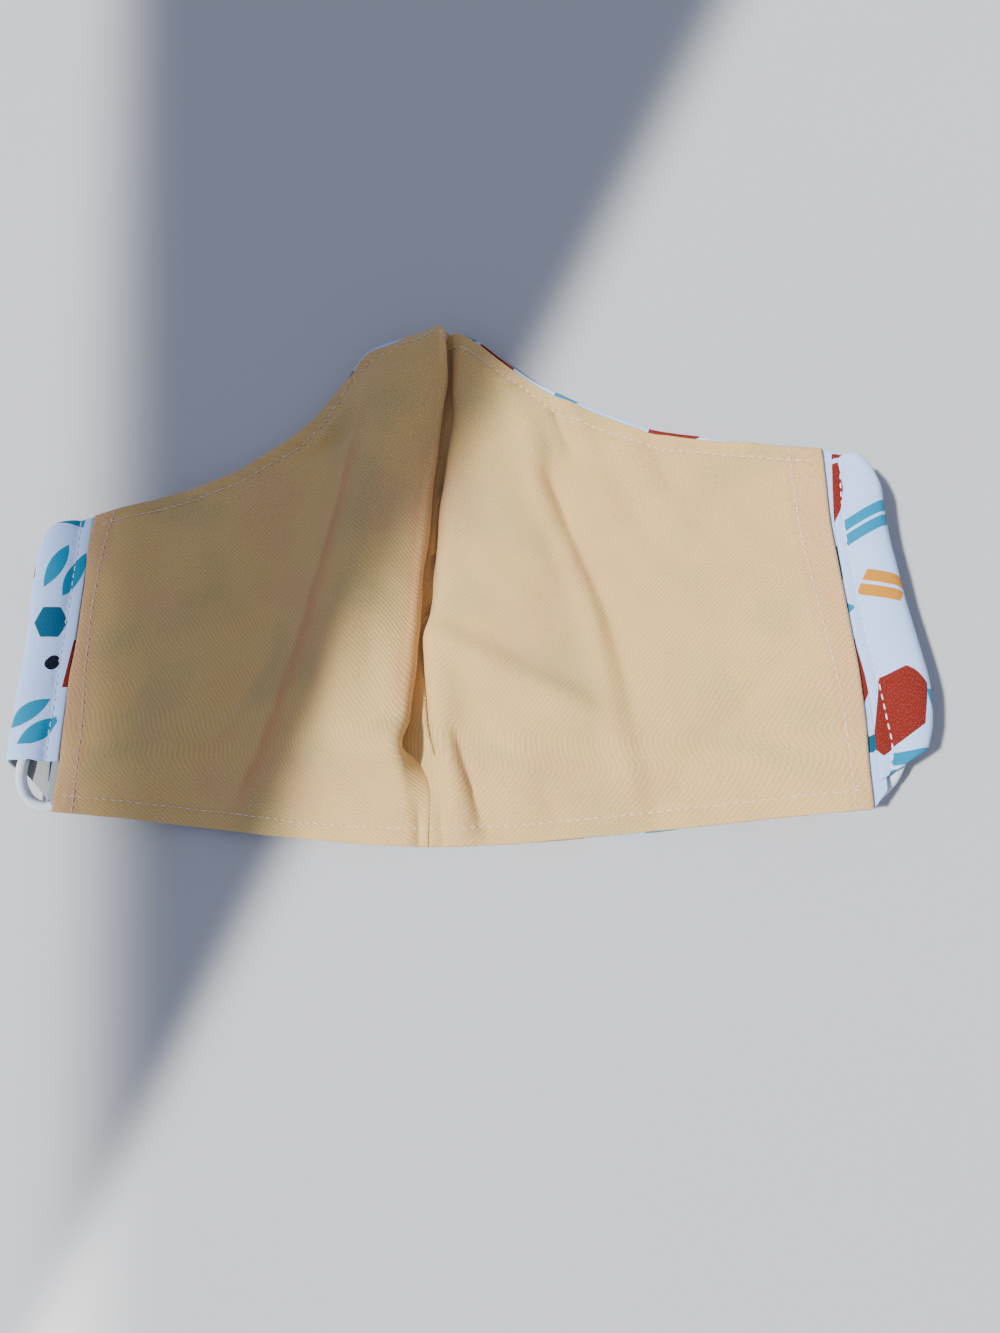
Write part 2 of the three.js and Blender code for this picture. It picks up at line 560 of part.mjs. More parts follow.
function earLoop(side) {
  const sign = side === "left" ? -1 : 1;
  const outside = LOOP_ROUTES[side].map(({ out, along, rise }) => {
    const y = THREE.MathUtils.lerp(-SIDE_BOTTOM, SIDE_TOP, along);
    const z = THREE.MathUtils.lerp(CORD_DIAMETER / 2 + LOOP_LIFT, WING_HEIGHT, rise);
    return new THREE.Vector3(sideEdge(side, along)[0] + sign * out * HALF_WIDTH, y, z);
  });
  const inside = (levels) => levels.map((level) => channelCentre(side, level));
  const meeting = channelCentre(side, LOOP_MEETS);
  const apart = new THREE.Vector3(0, PLY_GAP / 2, 0);
  const route = [
    meeting.clone().sub(apart),
    ...inside(LOOP_IN_CASING.filter((level) => level < LOOP_MEETS).reverse()),
    ...outside,
    ...inside(LOOP_IN_CASING.filter((level) => level > LOOP_MEETS).reverse()),
    meeting.clone().add(apart),
  ];
  const section = new THREE.Shape(
    Array.from({ length: LOOP_SIDES }, (_, k) => {
      const angle = ((k + 0.5) / LOOP_SIDES) * 2 * Math.PI;
      return new THREE.Vector2(Math.cos(angle), Math.sin(angle)).multiplyScalar(CORD_DIAMETER / 2);
    }),
  );
  return new THREE.ExtrudeGeometry(section, {
    steps: LOOP_STEPS,
    extrudePath: new THREE.CatmullRomCurve3(route, false, "centripetal"),
    bevelEnabled: false,
  });
}

function named(name, geometry, finish) {
  const mesh = new THREE.Mesh(geometry, new THREE.MeshStandardMaterial(COLOURS[finish]));
  mesh.name = name;
  return mesh;
}

const mask = new THREE.Group();
for (const side of ["left", "right"]) {
  mask.add(named(`lining_${side}`, lining(side), "lining"));
  mask.add(named(`outer_${side}`, outer(side), "outer"));
  mask.add(named(`casing_${side}`, casing(side), "outer"));
  mask.add(named(`ear_loop_${side}`, earLoop(side), "elastic"));
}

// The part's origin is on the resting surface, under the middle of the cloth pieces.
const cloth = new THREE.Box3();
for (const mesh of mask.children) {
  if (!mesh.name.startsWith("ear_loop")) cloth.expandByObject(mesh, true);
}
const middle = cloth.getCenter(new THREE.Vector3());
const part = new THREE.Group();
mask.position.set(-middle.x, -middle.y, 0);
part.add(mask);

export default part;
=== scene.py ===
"""Fitted cloth face mask, lying open on its back with the lining up.

Every piece of cloth is a sheet around one middle surface. A section runs across the mask at each level
from the chin edge to the nose edge, and the outline gives each point of it its depth.
"""

import math

import bpy
import numpy as np
from mathutils import Matrix, Quaternion, Vector


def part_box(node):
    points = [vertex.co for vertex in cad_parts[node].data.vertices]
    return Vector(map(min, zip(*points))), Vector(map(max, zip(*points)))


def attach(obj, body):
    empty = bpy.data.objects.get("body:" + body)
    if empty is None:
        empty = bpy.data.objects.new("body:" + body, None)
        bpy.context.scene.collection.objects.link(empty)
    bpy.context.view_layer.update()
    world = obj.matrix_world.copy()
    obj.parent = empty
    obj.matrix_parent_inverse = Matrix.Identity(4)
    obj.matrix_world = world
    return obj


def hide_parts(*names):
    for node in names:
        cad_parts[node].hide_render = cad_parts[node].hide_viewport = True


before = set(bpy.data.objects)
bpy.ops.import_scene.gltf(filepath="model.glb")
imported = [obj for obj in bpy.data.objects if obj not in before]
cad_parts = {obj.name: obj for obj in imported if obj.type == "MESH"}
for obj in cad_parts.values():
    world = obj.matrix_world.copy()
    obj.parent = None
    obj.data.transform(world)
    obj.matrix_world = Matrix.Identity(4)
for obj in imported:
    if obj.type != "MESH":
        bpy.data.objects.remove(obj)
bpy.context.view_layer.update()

bl_info = {
    "name": "Cloth face mask",
    "version": (1, 0, 0),
    "blender": (4, 5, 0),
    "location": "View3D > Sidebar > Face mask",
    "description": "Builds a fitted cloth face mask with casings, ear loops and stitching",
    "category": "Add Mesh",
}

MM = 0.001
SIDES = {"left": -1, "right": 1}

# Rounding of a sheet's rims; share of a grid step by which a seam is closed in; rise of the side hem, and
# how far its turning reaches past the stitching; how deep the thread lies in the cloth, and its rise on the
# hem; depth of the weave.
RIM_RADIUS = 0.5 * MM
SEAM_CLOSING = 0.12
HEM_RISE = 0.3 * MM
HEM_FOLD_PAST = 1.6 * MM
THREAD_SINK = 0.12 * MM
HEM_STITCH_RISE = 0.28 * MM
CLOTH_RELIEF = 0.12 * MM
CORD_SIDES = 20
THREAD_SIDES = 6


# Tables of the laid mask. Level 0 is the chin edge and level 1 the nose edge. Places across are shares of
# the half width, and heights are shares of the wing height unless a comment says otherwise.

# Top edge of each half, as a share of the rise from the side corner to the nose.
TOP_EDGE = (
    ("out", "left", "right"),
    (0.0, 1.0, 1.0),
    (0.047, 0.968, 0.975),
    (0.104, 0.954, 0.9),
    (0.16, 0.936, 0.8),
    (0.217, 0.895, 0.7),
    (0.283, 0.742, 0.592),
    (0.34, 0.602, 0.52),
    (0.406, 0.484, 0.443),
    (0.472, 0.4, 0.378),
    (0.585, 0.26, 0.271),
    (0.698, 0.172, 0.202),
    (0.811, 0.112, 0.15),
    (0.925, 0.05, 0.088),
    (1.02, -0.012, 0.03),
)

# Bottom edge, as a share of the drop from the side corner to the chin.
BOTTOM_EDGE = (
    ("out", "drop"),
    (0.0, 1.0),
    (0.17, 0.922),
    (0.32, 0.778),
    (0.51, 0.578),
    (0.66, 0.4),
    (0.82, 0.189),
    (1.02, 0.0),
)

# Centre fold. turn: degrees that the cloth turns back; tuck: share of the fold's depth; fold: place of the
# turned edge; base: rise of the lowest layer.
CENTRE_FOLD = (
    ("level", "turn", "tuck", "fold", "base"),
    (0.0, 12, 0.35, -0.057, 0.1),
    (0.08, 20, 0.35, -0.062, 0.07),
    (0.14, 60, 0.34, -0.073, 0.02),
    (0.18, 120, 0.35, -0.076, 0.0),
    (0.23, 176, 0.44, -0.068, 0.0),
    (0.36, 180, 0.8, -0.056, 0.0),
    (0.5, 180, 1.0, -0.04, 0.0),
    (0.64, 180, 1.0, -0.028, 0.0),
    (0.78, 180, 0.8, -0.004, 0.01),
    (0.88, 178, 0.45, 0.013, 0.1),
    (0.95, 150, 0.25, 0.016, 0.24),
    (1.0, 60, 0.08, 0.002, 0.5),
)

# Left panel: the hump's crest with its height as a share of the ridge height, the line where the cloth
# touches down, and the rising wing.
LEFT_PANEL = (
    ("level", "crest", "ridge", "foot", "foot_up", "wing", "wing_up"),
    (0.0, -0.245, 0.25, -0.623, 0.17, -0.77, 0.53),
    (0.08, -0.264, 0.37, -0.613, 0.1, -0.77, 0.53),
    (0.14, -0.257, 0.55, -0.598, 0.02, -0.76, 0.53),
    (0.18, -0.248, 0.66, -0.583, 0.0, -0.75, 0.53),
    (0.23, -0.241, 0.77, -0.566, 0.0, -0.74, 0.53),
    (0.36, -0.217, 0.92, -0.528, 0.0, -0.72, 0.54),
    (0.5, -0.198, 0.98, -0.481, 0.0, -0.7, 0.54),
    (0.64, -0.17, 1.0, -0.434, 0.04, -0.68, 0.54),
    (0.78, -0.142, 1.0, -0.387, 0.13, -0.66, 0.55),
    (0.88, -0.124, 0.98, -0.349, 0.25, -0.65, 0.57),
    (0.95, -0.116, 0.84, -0.36, 0.38, -0.65, 0.59),
    (1.0, -0.11, 0.64, -0.377, 0.46, -0.65, 0.6),
)

# Right panel: the brow beside the fold, the dip after it and the panel as shares of the panel height, and
# the crease where the cloth touches down.
RIGHT_PANEL = (
    ("level", "brow", "brow_up", "dip_up", "panel_up", "crease", "crease_up"),
    (0.0, 0.066, 0.54, 0.38, 0.43, 0.538, 0.13),
    (0.08, 0.058, 0.73, 0.26, 0.5, 0.533, 0.07),
    (0.14, 0.046, 0.87, 0.33, 0.62, 0.525, 0.02),
    (0.18, 0.034, 0.93, 0.48, 0.74, 0.521, 0.0),
    (0.23, 0.02, 0.96, 0.7, 0.86, 0.514, 0.0),
    (0.36, 0.006, 0.96, 0.98, 0.95, 0.486, 0.0),
    (0.5, 0.023, 1.0, 1.05, 0.96, 0.448, 0.0),
    (0.64, 0.037, 1.04, 1.09, 0.96, 0.396, 0.04),
    (0.78, 0.049, 1.11, 1.12, 0.96, 0.34, 0.13),
    (0.88, 0.056, 1.21, 1.21, 1.04, 0.321, 0.25),
    (0.95, 0.058, 1.36, 1.3, 1.13, 0.321, 0.37),
    (1.0, 0.06, 1.46, 1.36, 1.18, 0.34, 0.45),
)

# Side edges of the lining, and the height of the right wing halfway to its edge.
SIDE_EDGES = (
    ("level", "left", "left_up", "right", "right_up", "wing_up"),
    (0.0, -1.009, 0.9, 1.017, 0.97, 0.5),
    (0.18, -1.009, 0.92, 1.017, 1.0, 0.52),
    (0.36, -1.006, 0.94, 1.011, 1.0, 0.53),
    (0.5, -1.002, 0.95, 1.0, 1.0, 0.54),
    (0.64, -0.999, 0.95, 0.99, 1.0, 0.55),
    (0.78, -0.996, 0.95, 0.979, 1.0, 0.56),
    (1.0, -0.99, 0.95, 0.971, 1.0, 0.61),
)

# Side hem: the line of stitching's distance from the lining's edge, mm.
SIDE_HEM = (
    ("level", "left", "right"),
    (0.0, 5.9, 3.5),
    (0.25, 5.5, 4.3),
    (0.45, 4.6, 5.6),
    (0.65, 3.7, 7.0),
    (0.85, 5.0, 7.8),
    (1.0, 6.8, 8.2),
)

# Casings, level 0 at the lower end. width: share of the channel's width; rise: of the outer fold above the
# wing height; gape: growth of the casing's height; edge and stitch: places of the turned edge and of the
# stitching, mm from the lining.
CASING = {
    "left": (
        ("level", "width", "rise", "gape", "edge", "stitch"),
        (0.0, 1.14, -0.1, 1.35, 0.4, 4.6),
        (0.07, 1.14, -0.04, 1.2, 0.4, 4.6),
        (0.18, 1.06, 0.02, 1.0, 0.4, 4.1),
        (0.4, 1.06, 0.02, 1.0, 0.4, 4.4),
        (0.6, 1.08, 0.02, 1.0, 0.4, 4.2),
        (0.76, 1.16, 0.02, 1.0, 0.4, 4.0),
        (0.88, 1.12, 0.02, 1.0, 0.4, 4.2),
        (0.94, 1.06, 0.02, 1.0, 0.4, 4.4),
        (0.98, 0.9, 0.02, 1.0, 0.4, 4.4),
        (1.0, 0.68, 0.02, 1.0, 0.4, 4.4),
    ),
    "right": (
        ("level", "width", "rise", "gape", "edge", "stitch"),
        (0.0, 0.76, 0.0, 1.0, 1.6, 4.6),
        (0.07, 0.9, 0.03, 1.0, 1.6, 5.2),
        (0.16, 0.95, 0.05, 1.0, 1.5, 4.6),
        (0.28, 0.9, 0.055, 1.0, 1.3, 4.0),
        (0.4, 0.86, 0.06, 1.0, 0.5, 3.4),
        (0.55, 0.8, 0.06, 1.0, 0.4, 3.1),
        (0.76, 0.76, 0.06, 1.0, 0.7, 3.0),
        (0.88, 0.76, 0.06, 1.0, 1.4, 3.4),
        (0.95, 0.66, 0.06, 1.0, 1.9, 3.9),
        (1.0, 0.44, 0.05, 1.0, 2.2, 4.3),
    ),
}

# How far each end of a casing stands in from the side corner, mm: its upper wall at the lining and at the
# outer fold, then its lower wall at both.
CASING_ENDS = {
    "left": {"bottom": ((14, 14.5), (0.5, 12.5)), "top": ((0, 3), (9, 12))},
    "right": {"bottom": ((6, 16), (14, 24)), "top": ((-2, 2), (8, 12))},
}

# Ear loops from the lower mouth under the wing to the upper mouth: outwards from the lining's side edge as
# a share of the half width, along the side's length, and height from lying (0) to the wing height (1).
LOOP_ROUTES = {
    "left": (
        (0.122, 0.138, 0.85),
        (0.132, 0.088, 0.6),
        (0.126, 0.045, 0.29),
        (0.09, 0.022, 0.097),
        (0.048, 0.034, 0.02),
        (0.0, 0.068, 0.0),
        (-0.07, 0.125, 0.0),
        (-0.145, 0.195, 0.0),
        (-0.22, 0.285, 0.0),
        (-0.275, 0.4, 0.0),
        (-0.295, 0.53, 0.0),
        (-0.28, 0.68, 0.0),
        (-0.225, 0.82, 0.0),
        (-0.14, 0.905, 0.0),
        (-0.06, 0.95, 0.018),
        (0.02, 0.97, 0.196),
        (0.07, 0.965, 0.551),
        (0.094, 0.905, 0.917),
    ),
    "right": (
        (0.07, 0.135, 0.72),
        (0.046, 0.075, 0.45),
        (0.004, 0.034, 0.2),
        (-0.052, 0.042, 0.03),
        (-0.115, 0.088, 0.0),
        (-0.18, 0.16, 0.0),
        (-0.25, 0.27, 0.0),
        (-0.285, 0.42, 0.0),
        (-0.275, 0.6, 0.0),
        (-0.225, 0.76, 0.0),
        (-0.145, 0.88, 0.0),
        (-0.065, 0.94, 0.042),
        (0.01, 0.975, 0.29),
        (0.062, 0.975, 0.645),
        (0.08, 0.915, 1.035),
    ),
}

# Shares of the casing's length: where a loop's ends meet and how far apart they stay, and where its middle
# line is held. Steps between its keys; radius at its two ends as a share of the cord's.
LOOP_MEETS = 0.3
LOOP_GAP = 0.004
LOOP_IN_CASING = (0.1, 0.2, 0.42, 0.56, 0.7, 0.82)
LOOP_STEPS = 10
LOOP_TIP = 0.45

# Small folds and dents of the cloth, mm: from and to (across, along from the centre), width and height.
WRINKLES = (
    ("x0", "y0", "x1", "y1", "width", "height"),
    (-26, 50, -36, 44, 1.6, 1.1),
    (-22, 44, -40, 40, 3.0, -1.1),
    (-13, 62, -6, 60, 2.2, -1.3),
    (-12, 66, -5, 64, 1.6, 1.2),
    (-28, 62, -16, 68, 2.5, -1.0),
    (33, 22, 42, 0, 2.6, -1.1),
    (42, 0, 48, -17, 2.0, -1.6),
    (48, -17, 55, -48, 1.8, -1.6),
    (39, 20, 47, -2, 4.0, 0.8),
    (34, 44, 38, 34, 1.6, -1.1),
    (38, 46, 42, 36, 1.8, 0.8),
    (22, 50, 28, 34, 3.0, 0.6),
    (50, 26, 60, 6, 4.0, -1.4),
    (60, 34, 64, 22, 2.6, -1.3),
    (29, 24, 38, 1, 3.0, 0.9),
    (38, 1, 44, -17, 3.0, 1.1),
    (44, -17, 51, -52, 2.6, 3.0),
    (-5, -48, -3, -72, 1.4, -1.1),
    (8, -50, 13, -66, 2.0, -1.8),
    (0, -50, 1, -72, 2.2, 0.9),
    (44, -4, 66, -6, 1.8, 0.6),
    (9, -23, 37, -38, 3.6, 2.4),
    (60, -62, 86, -36, 5.0, -2.0),
    (58, -60, 60, -50, 2.0, -0.8),
    (30, -60, 34, -68, 2.4, -0.8),
    (-84, 10, -88, -40, 5.0, -0.6),
    (-70, 24, -76, 8, 4.0, 0.6),
)


def column(table, name, at):
    """Value of a table's named column at each place: cubic between rows, with slopes by harmonic mean so
    that it never swings past a row."""
    rows = np.array(table[1:], float)
    xs, ys = rows[:, 0], rows[:, table[0].index(name)]
    at = np.clip(np.asarray(at, float), xs[0], xs[-1])
    steps = np.diff(ys) / np.diff(xs)
    before, after = steps[:-1], steps[1:]
    total = np.where(before + after == 0, 1, before + after)
    inner = np.where(before * after > 0, 2 * before * after / total, 0)
    slopes = np.concatenate([steps[:1], inner, steps[-1:]])
    i = np.clip(np.searchsorted(xs, at, side="right") - 1, 0, len(xs) - 2)
    span = xs[i + 1] - xs[i]
    t = (at - xs[i]) / span
    return (
        (1 + 2 * t) * (1 - t) ** 2 * ys[i]
        + t * (1 - t) ** 2 * span * slopes[i]
        + t * t * (3 - 2 * t) * ys[i + 1]
        + t * t * (t - 1) * span * slopes[i + 1]
    )


def smoothstep(low, high, at):
    """From 0 at low to 1 at high, level at both ends."""
    t = np.clip((at - low) / (high - low), 0, 1)
    return t * t * (3 - 2 * t)


def mix(a, b, share):
    """From a to b by a share."""
    return a + (b - a) * share


def catmull_rom(keys, steps, ease_ends=False):
    """Centripetal Catmull-Rom curves through rows of keys, (rows, keys, dims) to (rows, samples, dims).
    With ease_ends the samples crowd towards the first and the last key."""
    first, last = 2 * keys[:, :1] - keys[:, 1:2], 2 * keys[:, -1:] - keys[:, -2:-1]
    p = np.concatenate([first, keys, last], 1)
    pieces = [keys[:, :1]]
    spans = keys.shape[1] - 1
    for i, count in enumerate(steps):
        p0, p1, p2, p3 = (p[:, i + k][:, None] for k in range(4))
        d0, d1, d2 = (
            np.maximum(np.linalg.norm(b - a, axis=-1, keepdims=True), 1e-9) ** 0.5
            for a, b in ((p0, p1), (p1, p2), (p2, p3))
        )
        t1 = ((p1 - p0) / d0 - (p2 - p0) / (d0 + d1) + (p2 - p1) / d1) * d1
        t2 = ((p2 - p1) / d1 - (p3 - p1) / (d1 + d2) + (p3 - p2) / d2) * d1
        w = np.arange(1, count + 1) / count
        if ease_ends and i == 0:
            w = w**2
        if ease_ends and i == spans - 1:
            w = 1 - (1 - w) ** 2
        w = w[None, :, None]
        pieces.append(
            p1 + t1 * w + (-3 * p1 + 3 * p2 - 2 * t1 - t2) * w**2 + (2 * p1 - 2 * p2 + t1 + t2) * w**3
        )
    return np.concatenate(pieces, 1)


# Middle surface of the cloth


def ply(s):
    """Distance from the middle surface to the far face of each layer."""
    return s.cloth + s.ply_gap / 2


def side_edge(s, side, level):
    """The lining's side edge at each level, as (across, up)."""
    x = column(SIDE_EDGES, side, level) * s.half_width
    return x, column(SIDE_EDGES, side + "_up", level) * s.wing_height


def centre_fold(s, level):
    """Keys of the turned-back fold: arcs of one radius join the top layer, the layer that runs back and
    the lowest layer. Returns the two arcs as functions of their share, and their end points."""
    angle = np.radians(column(CENTRE_FOLD, "turn", level))
    length = column(CENTRE_FOLD, "tuck", level) * s.fold_depth
    radius = ply(s) + s.turn_clearance
    base = ply(s) + column(CENTRE_FOLD, "base", level) * s.wing_height
    top_x = column(CENTRE_FOLD, "fold", level) * s.half_width - radius * np.sin(angle / 2)
    top_z = base + 2 * radius * (1 - np.cos(angle)) + length * np.sin(angle)
    start_x = top_x + 2 * radius * np.sin(angle) + length * np.cos(angle)

    def lower(share):
        return start_x - radius * np.sin(angle * share), base + radius * (1 - np.cos(angle * share))

    def upper(share):
        return top_x + radius * np.sin(angle * share), top_z - radius * (1 - np.cos(angle * share))

    return lower, upper, (top_x, top_z), (start_x, base)


# Keys between the named ones: height on the left slope from foot to crest, on the hump from the fold to the
# crest, and under the brow's shoulder, as shares; least way from the fold to the brow's foot; place of the
# right panel's flat, as a share of the half width.
SLOPE_HEIGHT = 0.45
HUMP_HEIGHT = 0.62
SHOULDER_HEIGHT = 0.72
FOLD_TO_BROW = 0.5 * MM
PANEL_FLAT = 0.255


def section(s, level):
    """Keys of the whole section from the left to the right side edge, (rows, keys, 2)."""
    lower, upper, top, start = centre_fold(s, level)

    def left(name):
        return column(LEFT_PANEL, name, level)

    def right(name):
        return column(RIGHT_PANEL, name, level)

    crest = left("crest") * s.half_width, left("ridge") * s.ridge_height
    foot = left("foot") * s.half_width, ply(s) + left("foot_up") * s.wing_height
    brow = right("brow") * s.half_width, right("brow_up") * s.panel_height
    crease = right("crease") * s.half_width, ply(s) + right("crease_up") * s.wing_height
    left_side, right_side = side_edge(s, "left", level), side_edge(s, "right", level)
    right_wing = column(SIDE_EDGES, "wing_up", level) * s.wing_height
    keys = [
        left_side,
        (left("wing") * s.half_width, left("wing_up") * s.wing_height),
        foot,
        ((crest[0] + foot[0]) / 2, mix(foot[1], crest[1], SLOPE_HEIGHT)),
        crest,
        ((top[0] + crest[0]) / 2, mix(top[1], crest[1], HUMP_HEIGHT)),
        *(upper(share) for share in (0, 0.25, 0.5, 0.75, 1)),
        *(lower(share) for share in (1, 0.75, 0.5, 0.25)),
        start,
        (np.maximum(brow[0] - s.brow_slope, start[0] + FOLD_TO_BROW), start[1]),
        (brow[0] - s.brow_softness, mix(start[1], brow[1], SHOULDER_HEIGHT)),
        (brow[0] + s.brow_softness, brow[1]),
        (brow[0] + s.dip_away, right("dip_up") * s.panel_height),
        (PANEL_FLAT * s.half_width + 0 * level, right("panel_up") * s.panel_height),
        crease,
        ((crease[0] + right_side[0]) / 2, right_wing),
        right_side,
    ]
    return np.stack([np.stack(key, -1) for key in keys], 1)


# Grid columns between the section's keys, left and right of the seam, and past each side edge.
LEFT_STEPS = (22, 10, 10, 10, 8, 8, 4, 4, 4, 4, 8, 4, 4)
RIGHT_STEPS = (4, 4, 6, 6, 6, 8, 12, 12, 14, 22)
STRIP_STEPS = 8
SEAM = STRIP_STEPS + sum(LEFT_STEPS)
ROWS = 150

# Grid columns between the keys of a casing's section; the column that is stitched; its rows.
CASING_STEPS = (4, 4, 5, 5, 8, 8, 6, 5, 5, 6, 8, 8, 5, 4)
CASING_STITCHED = sum(CASING_STEPS[:2])
CASING_ROWS = 110

# The casings' thickness as a share of the cloth's; height of the gathers beside their stitching and of
# their softness; where on the print each is cut from, m.
CASING_THIN = 0.9
GATHER_HEIGHT = 0.14 * MM
SOFT_HEIGHT = 0.35 * MM
PRINT_SHIFT = {"left": (0.1, 0.05), "right": (0.1, 0.2)}


def crowded(count):
    """Levels from 0 to 1 that crowd towards both ends as a cosine does, so that rims are round."""
    return 0.5 - 0.5 * np.cos(np.pi * np.linspace(0, 1, count))


def edges(s, x):
    """Bottom and top edge of the outline at each place across."""
    out = np.abs(x) / s.half_width
    rise = np.where(x < 0, column(TOP_EDGE, "left", out), column(TOP_EDGE, "right", out))
    top = s.side_top + (s.nose_reach - s.side_top) * rise
    bottom = -s.side_bottom - (s.chin_reach - s.side_bottom) * column(BOTTOM_EDGE, "drop", out)
    return bottom, top


# Heights of the cloth's broad and fine unevenness.
BROAD_RELIEF = 0.8 * MM
FINE_RELIEF = 0.26 * MM


def relief(x, y):
    """Height of the unevenness and of the small folds. Unevenness is a product of wavering sine waves; each
    fold is a bell across its line that fades out past its two ends."""
    total = BROAD_RELIEF * np.sin(x / 0.0085 + 1.3 * np.sin(y / 0.017)) * np.sin(y / 0.0125 + 0.7)
    wavering = np.sin(x / 0.0031 + 2.1 + 1.5 * np.sin(y / 0.009))
    total += FINE_RELIEF * wavering * np.sin(y / 0.0047 + x / 0.008)
    for x0, y0, x1, y1, width, height in np.array(WRINKLES[1:]) * MM:
        along = np.array([x1 - x0, y1 - y0])
        length = np.linalg.norm(along)
        along /= length
        place = (x - x0) * along[0] + (y - y0) * along[1]
        beside = (x - x0) * along[1] - (y - y0) * along[0]
        beyond = np.maximum(np.maximum(-place, place - length), 0)
        total += height * np.exp(-((beside / width) ** 2) - (beyond / (length * 0.35)) ** 2)
    return total


# Where the relief sets in: from the seam, from the chin edge in levels, and from the floor; its share on
# the floor. Level from which the top edge is let out.
RELIEF_FROM_SEAM = 2 * MM, 12 * MM
RELIEF_FROM_CHIN = 0.03, 0.1
RELIEF_FROM_FLOOR = 0, 1.5 * MM
RELIEF_ON_FLOOR = 0.5
PEEK_FROM = 0.96


def surface(s, levels, peek=None):
    """The middle surface as a grid (levels, columns, 3), with a flat strip past each side edge: the section
    at each level, spread between the outline's bottom and top, then raised along its normals by the
    relief, less near the seam and where it lies on the floor. peek gives how far the top edge is let out
    at each place across."""
    rows = catmull_rom(section(s, levels), LEFT_STEPS + RIGHT_STEPS, ease_ends=True)
    x, z = rows[..., 0], np.maximum(rows[..., 1], ply(s))
    reach = s.hem_to_casing + s.tongue - s.ply_gap
    strip = np.arange(1, STRIP_STEPS + 1) / STRIP_STEPS
    strip = (1 - (1 - strip) ** 1.5) * reach
    x = np.concatenate([x[:, :1] - strip[::-1], x, x[:, -1:] + strip], 1)
    z = np.concatenate([z[:, :1] + 0 * strip, z, z[:, -1:] + 0 * strip], 1)
    inner = np.clip(x, *(column(SIDE_EDGES, side, 0.0) * s.half_width for side in SIDES))
    bottom, top = edges(s, inner)
    y = mix(bottom + s.strip_corner * np.clip(np.abs(x - inner) / reach, 0, 1), top, levels[:, None])
    if peek:
        y = y + peek(x) * smoothstep(PEEK_FROM, 1.0, levels[:, None])
    grid = np.stack([x, y, z], -1)
    open_cloth = smoothstep(*RELIEF_FROM_SEAM, np.abs(x - x[:, SEAM : SEAM + 1]))
    open_cloth = np.maximum(open_cloth, 1 - smoothstep(*RELIEF_FROM_CHIN, levels[:, None]))
    off_floor = smoothstep(*RELIEF_FROM_FLOOR, z - ply(s))
    folds = relief(x, y) * open_cloth
    folds *= np.where(folds > 0, mix(RELIEF_ON_FLOOR, 1, off_floor), off_floor)
    grid += normals(grid) * folds[..., None]
    grid[..., 2] = np.maximum(grid[..., 2], ply(s))
    return grid


def normals(grid):
    """Unit normals of a grid from its central differences, across times along."""
    across = np.gradient(grid, axis=1)
    along = np.gradient(grid, axis=0)
    n = np.cross(across, along)
    return n / np.maximum(np.linalg.norm(n, axis=-1, keepdims=True), 1e-12)


def from_edges(grid):
    """Each point's distance along the surface from the grid's first and last column and its first and last
    row."""
    across, along = lengths(grid, 1), lengths(grid, 0)
    return across, across[:, -1:] - across, along, along[-1:] - along


def lengths(grid, axis):
    """Distance along the surface from the first row or column."""
    steps = np.linalg.norm(np.diff(grid, axis=axis), axis=-1)
    pad = [(0, 0), (0, 0)]
    pad[axis] = (1, 0)
    return np.cumsum(np.pad(steps, pad), axis=axis)


def to_frame(s):
    """From the crossing of the mask's middle lines to the row frame, read off the right casing's box."""
    low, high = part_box("casing_right")
    edge = column(SIDE_EDGES, "right", 1.0) * s.half_width + s.hem_to_casing
    end = s.side_top - CASING_ENDS["right"]["top"][0][0] * MM
    return np.array([low[0] - edge, high[1] - end, 0.0])


# Mesh tools


def add_mesh(name, points, faces, material, uv=None, values=None):
    """A mesh object at the origin, from points and a list of faces. uv: one pair for each point. values:
    named numbers for each point."""
    mesh = bpy.data.meshes.new(name)
    mesh.from_pydata(points.reshape(-1, 3).tolist(), [], faces)
    mesh.update()
    if uv is not None:
        corner_points = np.empty(len(mesh.loops), np.int32)
        mesh.loops.foreach_get("vertex_index", corner_points)
        layer = mesh.uv_layers.new(name="cloth")
        layer.data.foreach_set("uv", uv.reshape(-1, 2)[corner_points].astype(np.float32).ravel())
    for label, numbers in (values or {}).items():
        mesh.attributes.new(label, "FLOAT", "POINT").data.foreach_set(
            "value", np.asarray(numbers, np.float32).ravel()
        )
    mesh.polygons.foreach_set("use_smooth", np.ones(len(mesh.polygons), bool))
    mesh.materials.append(material)
    piece = bpy.data.objects.new(name, mesh)
    bpy.context.scene.collection.objects.link(piece)
    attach(piece, "root")
    return piece


def quads(index, flip=False):
    """Quads of a grid of point numbers."""
    a, b, c, d = index[:-1, :-1], index[:-1, 1:], index[1:, 1:], index[1:, :-1]
    faces = np.stack([a, b, c, d], -1).reshape(-1, 4)
    return faces[:, ::-1] if flip else faces


